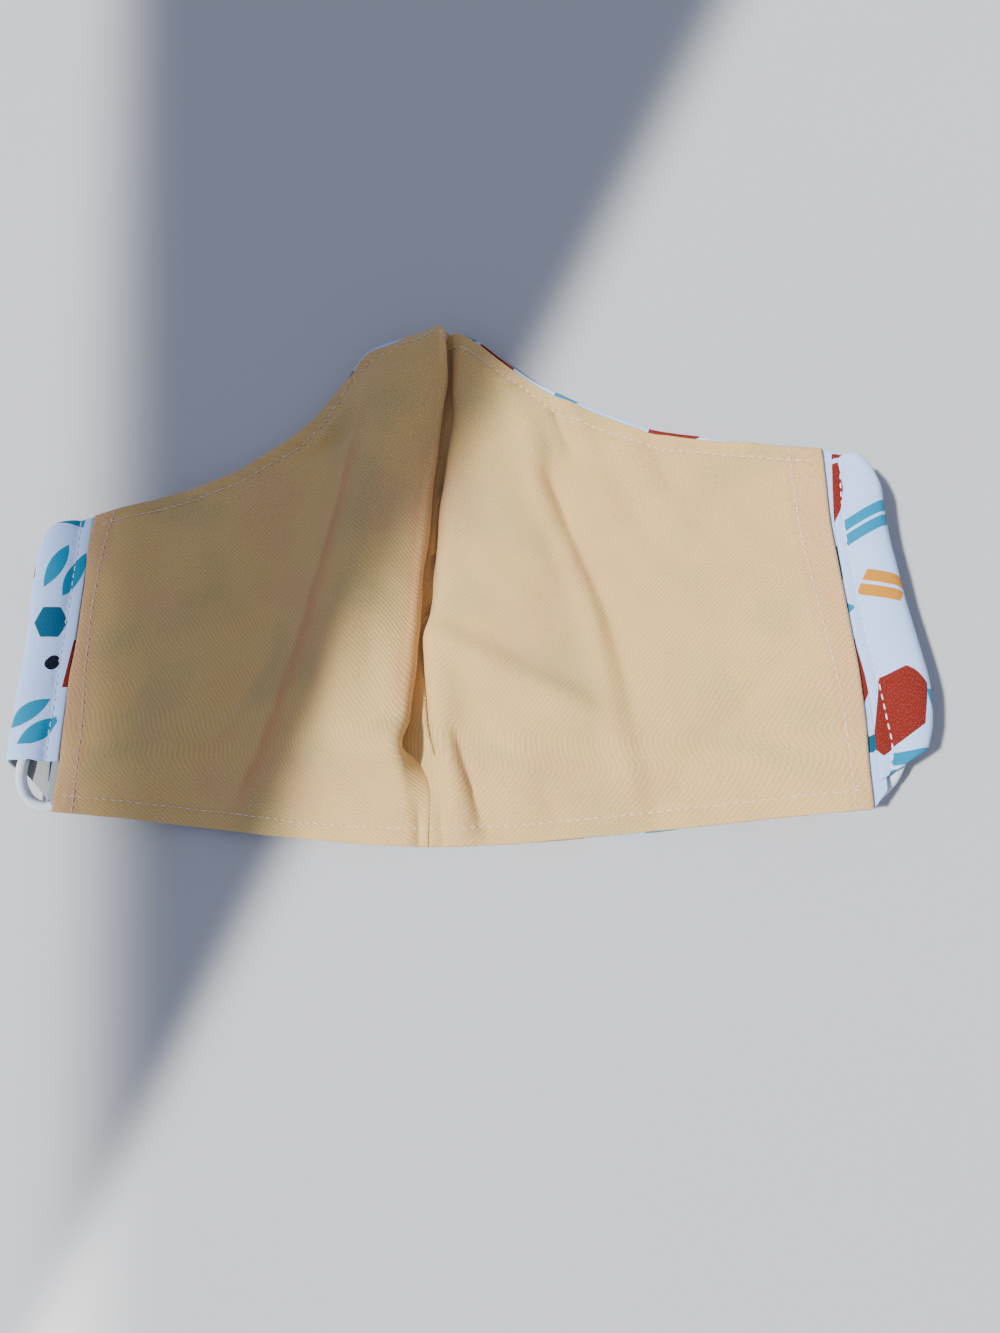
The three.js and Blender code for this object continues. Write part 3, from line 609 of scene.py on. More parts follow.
def shell(grid, facing, low, high, uv, values, inner_values=None):
    """A closed sheet: the grid offset along its normals to the two faces, which share their rim. values:
    named numbers for each point, inner_values: those of the lower face. Returns points, faces, and the uv
    and values of the points. Where low equals high the faces meet."""
    rows, columns = grid.shape[:2]
    upper = (grid + facing * high[..., None]).reshape(-1, 3)
    lower = (grid + facing * low[..., None]).reshape(-1, 3)
    top = np.arange(rows * columns).reshape(rows, columns)
    inner = np.zeros((rows, columns), bool)
    inner[1:-1, 1:-1] = True
    bottom = top.copy()
    bottom[inner] = rows * columns + np.arange(inner.sum())
    keep = inner.ravel()
    points = np.concatenate([upper, lower[keep]])
    faces = np.concatenate([quads(top), quads(bottom, flip=True)])
    uv = uv.reshape(-1, 2)
    inner_values = inner_values or values
    doubled = {
        name: np.concatenate([numbers.ravel(), inner_values[name].ravel()[keep]])
        for name, numbers in values.items()
    }
    return points, faces, np.concatenate([uv, uv[keep]]), doubled


def rounded(distance, radius):
    """Share of the thickness at a distance from the rim: a quarter circle up to radius."""
    t = np.clip(distance / radius, 0, 1)
    return np.sqrt(np.maximum(1 - (1 - t) ** 2, 0))


def tube(path, radius, sides):
    """A round profile carried along a path: its sideways direction is level, and it is as far from the path
    as the radius there. Returns points (path, sides, 3)."""
    tangent = np.gradient(path, axis=0)
    tangent /= np.linalg.norm(tangent, axis=1, keepdims=True)
    flat = np.cross(tangent, [0.0, 0.0, 1.0])
    flat /= np.maximum(np.linalg.norm(flat, axis=1, keepdims=True), 1e-9)
    up = np.cross(flat, tangent)
    turn = np.linspace(0, 2 * np.pi, sides, endpoint=False)
    ring = flat[:, None] * np.cos(turn)[None, :, None] + up[:, None] * np.sin(turn)[None, :, None]
    return path[:, None] + ring * radius[:, None, None]


def distance_along(path):
    """Distance along a path from its first point."""
    return np.concatenate([[0], np.cumsum(np.linalg.norm(np.diff(path, axis=0), axis=1))])


def at_distances(path, at, along):
    """Values of a path at distances along it, linear between its points."""
    return np.stack([np.interp(at, along, path[:, k]) for k in range(3)], -1)


# Nodes


def add_node(tree, kind, values=None, **settings):
    """A shader node with its settings, and its inputs set to a value or linked to a socket."""
    node = tree.nodes.new(kind)
    for name, value in settings.items():
        setattr(node, name, value)
    for key, value in (values or {}).items():
        socket = node.inputs[key]
        if isinstance(value, bpy.types.NodeSocket):
            tree.links.new(value, socket)
        else:
            socket.default_value = value
    return node


def maths(tree, operation, a, b=0.0, c=0.0):
    """The result of a sum on sockets or numbers."""
    return add_node(tree, "ShaderNodeMath", {0: a, 1: b, 2: c}, operation=operation).outputs[0]


def times(tree, a, b):
    """Product of two sockets or numbers."""
    return maths(tree, "MULTIPLY", a, b)


def ramp(tree, value, low, high, out_low=0.0, out_high=1.0):
    """A smooth step of a value between two limits."""
    inputs = {0: value, 1: low, 2: high, 3: out_low, 4: out_high}
    return add_node(tree, "ShaderNodeMapRange", inputs, interpolation_type="SMOOTHSTEP").outputs[0]


def blend(tree, share, a, b):
    """From colour a to colour b by a share."""
    return add_node(tree, "ShaderNodeMix", {0: share, 6: a, 7: b}, data_type="RGBA").outputs[2]


def noise(tree, place, scale, detail):
    """Soft noise, about one bump to 1/scale metres."""
    inputs = {"Vector": place, "Scale": scale, "Detail": detail}
    return add_node(tree, "ShaderNodeTexNoise", inputs).outputs[0]


def own_measure(tree):
    """Place on the cloth or cord itself, in metres across and along it."""
    return add_node(tree, "ShaderNodeUVMap", uv_map="cloth").outputs[0]


def split(tree, place):
    """The three parts of a place."""
    return add_node(tree, "ShaderNodeSeparateXYZ", {0: place}).outputs


def point_value(tree, name):
    """A number that the mesh keeps for each point."""
    return add_node(tree, "ShaderNodeAttribute", attribute_name=name).outputs["Fac"]


def rgba(colour, tone=1.0):
    """A colour setting as a node takes it, made lighter or darker by tone."""
    return (*(part * tone for part in colour[:3]), 1.0)


def start_group(name, inputs, outputs):
    """An empty node group with named sockets: (name, kind, default) in, (name, kind) out."""
    tree = bpy.data.node_groups.new(name, "ShaderNodeTree")
    for label, kind, default in inputs:
        socket = tree.interface.new_socket(name=label, in_out="INPUT", socket_type=kind)
        socket.default_value = default
    for label, kind in outputs:
        tree.interface.new_socket(name=label, in_out="OUTPUT", socket_type=kind)
    return tree, tree.nodes.new("NodeGroupInput"), tree.nodes.new("NodeGroupOutput")


def use_group(tree, group, values):
    """A node group with its inputs set."""
    return add_node(tree, "ShaderNodeGroup", values, node_tree=group)


# Slope of the twill's ribs, and the thread pitch of the plain weave.
TWILL_SLANT = 0.75
PLAIN_PITCH = 0.6 * MM


def weave_group():
    """Twill or plain weave on the cloth's own measure. Ribs are sine waves across a slant, which noise
    wavers and breaks up. Gives a rib height, a yarn mask and slow patches."""
    outputs = ("Height", "Yarn", "Patch")
    tree, given, result = start_group(
        "cloth_weave",
        (
            ("Rib pitch", "NodeSocketFloat", 0.75 * MM),
            ("Slant", "NodeSocketFloat", 1.0),
            ("Waver", "NodeSocketFloat", 0.15),
        ),
        tuple((name, "NodeSocketFloat") for name in outputs),
    )
    pitch, slant, waver = (given.outputs[name] for name in ("Rib pitch", "Slant", "Waver"))
    place = own_measure(tree)
    parts = split(tree, place)
    across = maths(tree, "SUBTRACT", parts[1], times(tree, parts[0], slant))
    steepness = maths(tree, "MULTIPLY_ADD", slant, slant, 1.0)
    phase = maths(tree, "DIVIDE", across, times(tree, pitch, maths(tree, "SQRT", steepness)))
    phase = maths(tree, "ADD", phase, times(tree, noise(tree, place, 170.0, 2.0), waver))
    wave = maths(tree, "SINE", times(tree, phase, 2 * math.pi))
    rib = maths(tree, "MULTIPLY_ADD", wave, 0.5, 0.5)
    height = times(tree, rib, ramp(tree, noise(tree, place, 1500.0, 1.0), 0.34, 0.6, 0.5, 1.0))
    yarn, patch = noise(tree, place, 2800.0, 1.0), noise(tree, place, 55.0, 3.0)
    for name, socket in zip(outputs, (height, yarn, patch)):
        tree.links.new(socket, result.inputs[name])
    return tree


def use_weave(tree, rib_pitch, slant):
    """The weave's outputs in a material. The group is made on first use."""
    group = bpy.data.node_groups.get("cloth_weave") or weave_group()
    return use_group(tree, group, {"Rib pitch": rib_pitch, "Slant": slant}).outputs


def new_material(name, build, roughness, bump=(0.0, 0.0), sheen=0.0, specular=0.5):
    """A material. build gives the base colour and the height of the relief from the tree; bump is the
    relief's strength and depth."""
    material = bpy.data.materials.new(name)
    material.use_nodes = True
    tree = material.node_tree
    colour, height = build(tree)
    shader = tree.nodes["Principled BSDF"]
    tree.links.new(colour, shader.inputs["Base Color"])
    shader.inputs["Roughness"].default_value = roughness
    shader.inputs["Sheen Weight"].default_value = sheen
    shader.inputs["Specular IOR Level"].default_value = specular
    if height is not None:
        inputs = {"Strength": bump[0], "Distance": bump[1], "Height": height}
        tree.links.new(add_node(tree, "ShaderNodeBump", inputs).outputs[0], shader.inputs["Normal"])
    return material


def lining_material(finish):
    """Peach cotton twill. The print of the outer shows through it as faint green and pink patches."""

    def build(tree):
        woven = use_weave(tree, finish.rib_pitch, TWILL_SLANT)
        place = own_measure(tree)
        inputs = {"Vector": place, "Location": (0.31, 0.17, 0.0)}
        moved = add_node(tree, "ShaderNodeMapping", inputs).outputs[0]
        green, pink = noise(tree, place, 34.0, 1.5), noise(tree, moved, 40.0, 1.5)
        base = blend(tree, woven["Patch"], rgba(finish.lining_warm), rgba(finish.lining))
        for share, colour in (
            (ramp(tree, green, 0.46, 0.66, 0, 0.52), finish.lining_green),
            (ramp(tree, pink, 0.5, 0.66, 0, 0.28), finish.lining_pink),
            (times(tree, point_value(tree, "hem"), 0.45), finish.lining_hem),
            # Painted warm light where light comes through the turned fold, and a painted shadow line down
            # the hump's outer slope.
            (times(tree, point_value(tree, "glow"), 0.75), finish.lining_glow),
            # Painted shade in the valleys between the twill ribs.
            (times(tree, maths(tree, "SUBTRACT", 1.0, woven["Height"]), 0.34), finish.lining_shade),
            (ramp(tree, woven["Yarn"], 0.4, 0.75, 0, 0.2), (1, 1, 1)),
        ):
            base = blend(tree, share, base, rgba(colour))
        return base, woven["Height"]

    return new_material("lining_twill", build, 0.82, (0.6, CLOTH_RELIEF), 0.15, 0.15)


PRINT_COLOURS = ("teal", "turquoise", "rust", "mustard", "navy")

# Printed motifs, one to a cell. long and wide: half sizes as shares of the cell. Every kind takes an equal
# share of the cells, and the last kind leaves them empty.
MOTIFS = (
    ("colour", "outline", "long", "wide"),
    ("teal", "tile", 0.34, 0.31),
    ("turquoise", "leaves", 0.5, 0.17),
    ("mustard", "bars", 0.4, 0.08),
    ("rust", "pebble", 0.7, 0.55),
    ("navy", "pebble", 0.15, 0.12),
    ("turquoise", "bars", 0.4, 0.1),
    ("teal", "leaves", 0.46, 0.15),
)


def motif_reach(tree, outline, x, y, long, wide):
    """How far a point is out from a motif's middle; the outline is where that passes 1. A leaf's is
    y + x squared, a tile's that of a six-sided figure, a bar's the larger of x and y, and a pebble's the
    sum of their powers. Leaves and bars come in pairs."""
    if outline in ("leaves", "bars"):
        y = maths(tree, "ABSOLUTE", maths(tree, "SUBTRACT", y, 1.25 * wide))
    u, v = maths(tree, "DIVIDE", x, long), maths(tree, "DIVIDE", y, wide)
    if outline == "tile":
        return maths(tree, "MAXIMUM", v, maths(tree, "MULTIPLY_ADD", v, 0.5, u))
    if outline == "leaves":
        return maths(tree, "MULTIPLY_ADD", u, u, v)
    if outline == "bars":
        return maths(tree, "MAXIMUM", u, v)
    return maths(tree, "ADD", maths(tree, "POWER", u, 2.6), maths(tree, "POWER", v, 2.2))


def print_group():
    """A print of motifs, scattered one to a cell and each turned its own way. Gives the printed colour and
    a mask of where it is."""
    tree, given, result = start_group(
        "scattered_print",
        (("Cell", "NodeSocketFloat", 14 * MM),)
        + tuple((name, "NodeSocketColor", (0.5, 0.5, 0.5, 1.0)) for name in PRINT_COLOURS),
        (("Mask", "NodeSocketFloat"), ("Color", "NodeSocketColor")),
    )
    inputs = {0: own_measure(tree), "Scale": maths(tree, "DIVIDE", 1.0, given.outputs["Cell"])}
    place = add_node(tree, "ShaderNodeVectorMath", inputs, operation="SCALE").outputs[0]
    inputs = {"Vector": place, "Scale": 1.0, "Randomness": 0.42}
    cells = add_node(tree, "ShaderNodeTexVoronoi", inputs, voronoi_dimensions="2D").outputs
    inputs = {0: place, 1: cells["Position"]}
    local = add_node(tree, "ShaderNodeVectorMath", inputs, operation="SUBTRACT").outputs[0]
    chance = add_node(tree, "ShaderNodeSeparateColor", {0: cells["Color"]}).outputs
    inputs = {"Vector": local, "Angle": times(tree, chance[0], 2 * math.pi)}
    turned = add_node(tree, "ShaderNodeVectorRotate", inputs, rotation_type="Z_AXIS").outputs[0]
    x, y, _ = (maths(tree, "ABSOLUTE", axis) for axis in split(tree, turned))
    kind = times(tree, chance[1], len(MOTIFS))
    mask, printed = 0.0, (1.0, 1.0, 1.0, 1.0)
    for number, (name, outline, long, wide) in enumerate(MOTIFS[1:]):
        inside = ramp(tree, motif_reach(tree, outline, x, y, long, wide), 0.94, 1.04, 1.0, 0.0)
        inside = times(tree, inside, maths(tree, "COMPARE", kind, number + 0.5, 0.5))
        printed = blend(tree, inside, printed, given.outputs[name])
        mask = maths(tree, "MAXIMUM", mask, inside)
    tree.links.new(mask, result.inputs["Mask"])
    tree.links.new(printed, result.inputs["Color"])
    return tree


def printed_material(finish):
    """White cotton, plain woven, with a scattered print on its right side, and its wrong side painted grey
    as shade.
    """

    def build(tree):
        woven = use_weave(tree, PLAIN_PITCH, 0.0)
        values = {name: rgba(getattr(finish, name)) for name in PRINT_COLOURS}
        printed = use_group(tree, print_group(), {"Cell": finish.print_cell, **values}).outputs
        base = blend(tree, woven["Patch"], rgba(finish.ground_shade), rgba(finish.ground))
        share = times(tree, printed["Mask"], ramp(tree, woven["Yarn"], 0.25, 0.6, 0.95, 1.0))
        base = blend(tree, share, base, printed["Color"])
        # Painted shade: the unprinted side's plain white is painted grey, as it looks in the shade inside
        # the casings.
        share = times(tree, point_value(tree, "wrong_side"), 0.94)
        return blend(tree, share, base, rgba(finish.ground_wrong_side_painted_shade)), woven["Height"]

    return new_material("printed_cloth", build, 0.85, (0.4, CLOTH_RELIEF), 0.08, 0.08)


def cord_material(finish):
    """Knitted cover of round elastic: ribs that wind round the cord, on its own measure."""

    def build(tree):
        parts = split(tree, own_measure(tree))
        along = maths(tree, "DIVIDE", parts[1], 0.9 * MM)
        wound = maths(tree, "ADD", along, times(tree, parts[0], 3.0))
        wave = maths(tree, "SINE", times(tree, wound, 2 * math.pi))
        ribs = maths(tree, "SINE", times(tree, parts[0], 2 * math.pi * 10))
        height = maths(tree, "MULTIPLY_ADD", times(tree, wave, ribs), 0.5, 0.5)
        # Painted shade between the knitted ribs, darker where the relief is low.
        return blend(tree, height, rgba(finish.elastic_rib_painted_shade), rgba(finish.elastic)), height

    return new_material("knitted_elastic", build, 0.75, (0.6, 0.15 * MM), 0.2)


def thread_material(name, colour):
    """Sewing thread, unevenly dark, on Object coordinates."""

    def build(tree):
        fibres = noise(tree, add_node(tree, "ShaderNodeTexCoord").outputs["Object"], 900.0, 2.0)
        share = ramp(tree, fibres, 0.35, 0.65)
        return blend(tree, share, rgba(colour, 0.78), rgba(colour)), fibres

    return new_material(name, build, 0.6, (0.3, 0.05 * MM))


def floor_material(colour):
    """Plain pale floor, slightly uneven, on Object coordinates."""

    def build(tree):
        uneven = noise(tree, add_node(tree, "ShaderNodeTexCoord").outputs["Object"], 6.0, 3.0)
        return blend(tree, uneven, rgba(colour, 0.96), rgba(colour)), None

    return new_material("pale_floor", build, 0.9)


def shared(name, make, *given):
    """A material by its name, made on first use."""
    return bpy.data.materials.get(name) or make(*given)


# Settings


def length(name, description, default):
    """A length setting."""
    return bpy.props.FloatProperty(
        name=name, description=description, default=default, min=0.0, unit="LENGTH", precision=5
    )


def colour(name, description, red, green, blue):
    """A colour setting, given as it is read off a screen and kept as light."""
    read = (part / 255 for part in (red, green, blue))
    linear = tuple(v / 12.92 if v <= 0.04 else ((v + 0.055) / 1.055) ** 2.4 for v in read)
    return bpy.props.FloatVectorProperty(
        name=name, description=description, subtype="COLOR", size=3, min=0.0, max=1.0, default=linear
    )


def vector(name, description, default, subtype="TRANSLATION"):
    """A place or direction setting."""
    return bpy.props.FloatVectorProperty(
        name=name, description=description, subtype=subtype, size=3, default=default
    )


def angle(name, description, degrees):
    """An angle setting, given in degrees."""
    return bpy.props.FloatProperty(
        name=name, description=description, default=math.radians(degrees), subtype="ANGLE"
    )


class MaskSizes(bpy.types.PropertyGroup):
    """Sizes of the sewn mask and of the way it lies"""

    cloth: length("Cloth", "Thickness of each layer, with its turnings", 1.0 * MM)
    ply_gap: length("Gap", "Between the lining and the outer", 0.3 * MM)
    turn_clearance: length("Turn clearance", "Inner radius of a turned fold", 0.45 * MM)
    half_width: length("Half width", "Centre seam to the lining's side edge", 106 * MM)
    nose_reach: length("Nose reach", "Middle line to the nose edge", 73.6 * MM)
    chin_reach: length("Chin reach", "Middle line to the chin edge", 75.2 * MM)
    side_top: length("Side top", "Middle line to the side's upper corner", 21.2 * MM)
    side_bottom: length("Side bottom", "Middle line to the side's lower corner", 66.2 * MM)
    ridge_height: length("Ridge height", "Top of the hump on the left panel", 13.6 * MM)
    fold_depth: length("Fold depth", "How far the cloth is tucked under", 17 * MM)
    panel_height: length("Panel height", "The right panel beside the seam", 5.6 * MM)
    wing_height: length("Wing height", "The side edges above the surface", 11 * MM)
    brow_slope: length("Brow slope", "Foot of the brow to its shoulder", 3.2 * MM)
    brow_softness: length("Brow softness", "Half the shoulder's rounding", 1.0 * MM)
    dip_away: length("Dip away", "Brow to the dip after it", 8 * MM)
    hem_to_casing: length("Hem to casing", "Lining's edge to the casing's turned edge", 1.2 * MM)
    tongue: length("Tongue", "Casing's turned edge to its stitching", 2.6 * MM)
    strip_corner: length("Strip corner", "Cut off the outer's lower corner under each casing", 4.5 * MM)
    channel_width: length("Channel width", "Stitching to the casing's outer fold", 12 * MM)
    channel_offset: length("Channel offset", "Channel's middle above the cloth's", 0.25 * MM)
    cord_diameter: length("Cord diameter", "Round elastic of the ear loops", 3 * MM)
    cord_clearance: length("Cord clearance", "Around the cord in its casing", 0.55 * MM)
    loop_lift: length("Loop lift", "Under the cord where it lies", 0.2 * MM)
    topstitch_in: length("Top stitching", "In from the nose edge", 4.0 * MM)
    bottomstitch_in: length("Bottom stitching", "In from the chin edge", 4.7 * MM)
    stitch_pitch: length("Stitch pitch", "From stitch to stitch", 2.3 * MM)
    stitch_length: length("Stitch length", "Of the thread that shows", 1.7 * MM)
    thread: length("Thread", "Diameter of the sewing thread", 0.38 * MM)


class MaskFinish(bpy.types.PropertyGroup):
    """Colours and weave"""

    rib_pitch: length("Rib pitch", "Between the lining's twill ribs", 0.98 * MM)
    print_cell: length("Print cell", "From motif to motif", 15 * MM)
    lining: colour("Lining", "Cream of the lining", 226, 190, 106)
    lining_warm: colour("Lining, warm", "Peach of the lining", 225, 178, 98)
    lining_green: colour("Lining, green", "Where green print shows through", 184, 166, 94)
    lining_pink: colour("Lining, pink", "Where rust print shows through", 214, 152, 108)
    lining_hem: colour("Lining hem", "Where the hem doubles the cloth", 216, 154, 104)
    # Painted light and shade: warm orange for light coming through the turned fold and for the hump's
    # shadow line.
    lining_glow: colour("Lining, glowing", "Where light comes through the turned cloth", 206, 134, 62)
    # Painted shade between the twill ribs.
    lining_shade: colour("Lining, between ribs", "Between the twill ribs", 160, 112, 62)
    ground: colour("Print ground", "White of the printed cotton", 188, 214, 255)
    # Painted shade: the unprinted side's white, greyed as it looks in shade.
    ground_wrong_side_painted_shade: colour("Print's wrong side", "Unprinted side of the cotton", 152, 150, 142)
    ground_shade: colour("Print ground, shade", "Uneven white", 174, 203, 248)
    teal: colour("Teal", "Print colour", 0, 84, 112)
    turquoise: colour("Turquoise", "Print colour", 0, 126, 160)
    rust: colour("Rust", "Print colour", 118, 30, 6)
    mustard: colour("Mustard", "Print colour", 196, 130, 30)
    navy: colour("Navy", "Print colour", 3, 6, 24)
    elastic: colour("Elastic", "Knitted cover", 240, 243, 250)
    # Painted shade between the knitted ribs.
    elastic_rib_painted_shade: colour("Elastic, shade", "Between its ribs", 196, 202, 214)
    lining_thread: colour("Lining thread", "Stitching on the lining", 244, 222, 204)
    casing_thread: colour("Casing thread", "Stitching on the casings", 246, 246, 248)


class MaskStage(bpy.types.PropertyGroup):
    """Camera, light and floor"""

    camera: vector("Camera", "Camera's place from the middle lines", (0.0620, -0.0791, 0.2220))
    look: vector("Look", "Direction of view", (-0.1914, 0.2258, -0.9552), "DIRECTION")
    right: vector("Right", "Picture's right", (0.9809, 0.0094, -0.1943), "DIRECTION")
    lens: bpy.props.FloatProperty(name="Lens", description="Focal length, mm", default=22.955, min=1.0)
    key_lean: vector("Key lean", "From what the lights fall on to their panels", (-0.178, -0.047, 0.35))
    key_aim: vector("Key aim", "Middle of what the key light falls on", (0.273, -0.170, 0.0))
    key_turn: angle("Key turn", "Turn about its own axis", -38)
    side_aim: vector("Side aim", "Middle of what the side light falls on", (-0.446, 0.0, 0.0))
    side_turn: angle("Side turn", "Turn about its own axis", -8)
    key_spread: angle("Key spread", "Width of each beam", 5)
    key_size: length("Key size", "Width of the key light's panel", 0.6)
    key_power: bpy.props.FloatProperty(
        name="Key power", description="Watts", default=2.32, min=0.0, unit="POWER"
    )
    fill: bpy.props.FloatProperty(
        name="Fill", description="Strength of the light all round", default=0.44, min=0.0
    )
    floor: colour("Floor", "Plain pale floor", 190, 190, 188)
    floor_size: length("Floor size", "Width of the floor", 6.0)


# Operators

# Colour of the light all round; the camera's sensor, mm, and its near limit, m.
SKY_COLOUR = (0.86, 0.95, 1.33, 1.0)
SENSOR_WIDTH = 36.0
NEAR_CLIP = 0.005


class FACEMASK_OT_stage(bpy.types.Operator):
    """Adds the camera, the pale floor and the soft light"""

    bl_idname = "face_mask.stage"
    bl_label = "Stage"

    def execute(self, context):
        scene, stage = context.scene, context.scene.mask_stage
        lens = bpy.data.cameras.new("camera")
        lens.sensor_width, lens.lens, lens.clip_start = SENSOR_WIDTH, stage.lens, NEAR_CLIP
        camera = bpy.data.objects.new("camera", lens)
        look, right = Vector(stage.look).normalized(), Vector(stage.right).normalized()
        turn = Matrix((right, right.cross(look), -look)).transposed().to_4x4()
        place = Vector(stage.camera) + Vector(to_frame(scene.mask_sizes))
        camera.matrix_world = Matrix.Translation(place) @ turn
        scene.collection.objects.link(camera)
        scene.camera = camera

        half = stage.floor_size / 2
        corners = [(x * half, y * half, 0) for x, y in ((-1, -1), (1, -1), (1, 1), (-1, 1))]
        sheet = bpy.data.meshes.new("floor")
        sheet.from_pydata(corners, [], [(0, 1, 2, 3)])
        sheet.materials.append(floor_material(stage.floor))
        floor = bpy.data.objects.new("floor", sheet)
        scene.collection.objects.link(floor)

        lean = Vector(stage.key_lean)
        for name, aim, turn in (
            ("key", stage.key_aim, stage.key_turn),
            ("side", stage.side_aim, stage.side_turn),
        ):
            panel = bpy.data.lights.new(name, "AREA")
            panel.shape, panel.size, panel.energy = "SQUARE", stage.key_size, stage.key_power
            panel.spread = stage.key_spread
            light = bpy.data.objects.new(name, panel)
            light.location = Vector(aim) + lean
            aimed = (-lean).to_track_quat("-Z", "Y")
            light.rotation_euler = (aimed @ Quaternion((0, 0, 1), turn)).to_euler()
            scene.collection.objects.link(light)

        world = bpy.data.worlds.new("soft_light")
        world.use_nodes = True
        sky = world.node_tree.nodes["Background"].inputs
        sky["Color"].default_value = SKY_COLOUR
        sky["Strength"].default_value = stage.fill
        scene.world = world
        return {"FINISHED"}


def casing_place(s, side, level, across, up, wall):
    """Where a point of a casing's section comes to lie at a share of the casing's length. wall says how far
    it is from the upper wall (0) to the lower one (1)."""
    span = s.tongue + s.channel_width
    share = np.clip((across - s.hem_to_casing) / span, 0, 1)

    def inset(end):
        upper, lower = CASING_ENDS[side][end]
        return mix(mix(*upper, share), mix(*lower, share), wall) * MM

    y = mix(-s.side_bottom + inset("bottom"), s.side_top - inset("top"), level)
    at = (y + s.side_bottom) / (s.side_top + s.side_bottom)
    x, z = side_edge(s, side, at)
    flare = column(CASING[side], "rise", level) * s.wing_height * share
    return np.stack(np.broadcast_arrays(x + SIDES[side] * across, y, z + up + flare), -1)


def channel_middle(s, side, level):
    """Middle of a casing's channel at a share of the casing's length."""
    width = column(CASING[side], "width", level) * s.channel_width
    return casing_place(s, side, level, s.hem_to_casing + s.tongue + width / 2, s.channel_offset, 0)


def loop_path(s, side):
    """Middle line of an ear loop at even steps: from where its ends meet in the casing, out of the lower
    mouth, under the wing, into the upper mouth and back."""
    out, along, rise = np.array(LOOP_ROUTES[side]).T
    x = side_edge(s, side, along)[0] + SIDES[side] * out * s.half_width
    y = mix(-s.side_bottom, s.side_top, along)
    z = mix(s.cord_diameter / 2 + s.loop_lift, s.wing_height, rise)
    below = [level for level in LOOP_IN_CASING if level < LOOP_MEETS][::-1]
    above = [level for level in LOOP_IN_CASING if level > LOOP_MEETS][::-1]
    inside = [channel_middle(s, side, level) for level in (LOOP_MEETS, *below)]
    back = [channel_middle(s, side, level) for level in (*above, LOOP_MEETS + LOOP_GAP)]
    route = np.concatenate([inside, np.stack([x, y, z], 1), back])
    path = catmull_rom(route[None], [LOOP_STEPS] * (len(route) - 1))[0]
    run = distance_along(path)
    return at_distances(path, np.linspace(0, run[-1], int(run[-1] / MM)), run)


def capped_tube(rings):
    """Faces of a tube with its ends closed. Its points are those of the rings, then the middle of the first
    ring and that of the last."""
    count, sides = rings.shape[:2]
    index = np.arange(count * sides).reshape(count, sides)
    index = np.concatenate([index, index[:, :1]], 1)
    first, last = count * sides, count * sides + 1
    faces = quads(index, flip=True).tolist()
    faces += [[first, int(index[0, k]), int(index[0, k + 1])] for k in range(sides)]
    faces += [[last, int(index[-1, k + 1]), int(index[-1, k])] for k in range(sides)]
    return faces


class FACEMASK_OT_ear_loops(bpy.types.Operator):
    """Adds the two round elastic ear loops"""

    bl_idname = "face_mask.ear_loops"
    bl_label = "Ear loops"

    def execute(self, context):
        s = context.scene.mask_sizes
        shift = to_frame(s)
        material = shared("knitted_elastic", cord_material, context.scene.mask_finish)
        for side in SIDES:
            path = loop_path(s, side) + shift
            measure = distance_along(path)
            radius = np.full(len(path), s.cord_diameter / 2)
            radius[[0, -1]] *= LOOP_TIP
            rings = tube(path, radius, CORD_SIDES)
            points = np.concatenate([rings.reshape(-1, 3), path[:1], path[-1:]])
            turn = np.abs(np.linspace(-1, 1, CORD_SIDES, endpoint=False))
            uv = np.stack(np.broadcast_arrays(turn[None], measure[:, None]), -1).reshape(-1, 2)
            uv = np.concatenate([uv, [[0, 0], [0, measure[-1]]]])
            piece = add_mesh(f"ear_loop_{side}_cord", points, capped_tube(rings), material, uv)
            mouth = channel_middle(s, side, 0.0) + shift
            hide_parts(f"ear_loop_{side}")
        return {"FINISHED"}


# Cloth


def cut_half(grid, side, strip):
    """One half of the cloth, cut at the seam and short of its last strip columns: its grid, its normals,
    and each point's distance from the seam, the side, the bottom and the top. The column at the seam is
    drawn in a little, so that the two halves don't share a face."""
    part = np.s_[:, strip : SEAM + 1] if side == "left" else np.s_[:, SEAM : grid.shape[1] - strip]
    half, facing = grid[part].copy(), normals(grid)[part]
    across, back, along, down = from_edges(half)
    seam, beside = (-1, -2) if side == "left" else (0, 1)
    half[:, seam] += (half[:, beside] - half[:, seam]) * SEAM_CLOSING
    from_seam, from_side = (back, across) if side == "left" else (across, back)
    return half, facing, (from_seam, from_side, along, down)


def add_cloth(s, name, material, sheet):
    points, faces, uv, values = sheet
    piece = add_mesh(f"{name}_cloth", points + to_frame(s), faces.tolist(), material, uv, values)
    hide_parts(name)


# Depth of the dent along a line of stitching and height of its puckers, at the edges and at the hem; how
# far from the seam and from the rim they set in. Softness of the hem's step.
EDGE_DENT = 0.22 * MM, 0.2 * MM
HEM_DENT = 0.2 * MM, 0.1 * MM
DENTS_FROM_SEAM = 2 * MM, 8 * MM
DENTS_FROM_RIM = 0, 1.5 * MM
HEM_SOFTNESS = 0.4 * MM

# Where the outer's top edge changes from its turned right side to its wrong side.
TOP_TURNING = 3 * MM, 4 * MM


def stitch_dents(distance, run, depth, amount):
    """Dent along a line of stitching, a bell across it, with small puckers beside it: wavering sine waves
    along the line that fade away from it."""
    pucker = np.sin(run / 0.00073 + 1.7 * np.sin(run / 0.0041)) * np.exp(-np.abs(distance) / (2.2 * MM))
    return -depth * np.exp(-((distance / (0.7 * MM)) ** 2)) + amount * pucker * np.sin(run / 0.0063 + 0.6)


def hem_line(side, levels):
    """Distance from the lining's edge to its hem's stitching."""
    return column(SIDE_HEM, side, levels) * MM


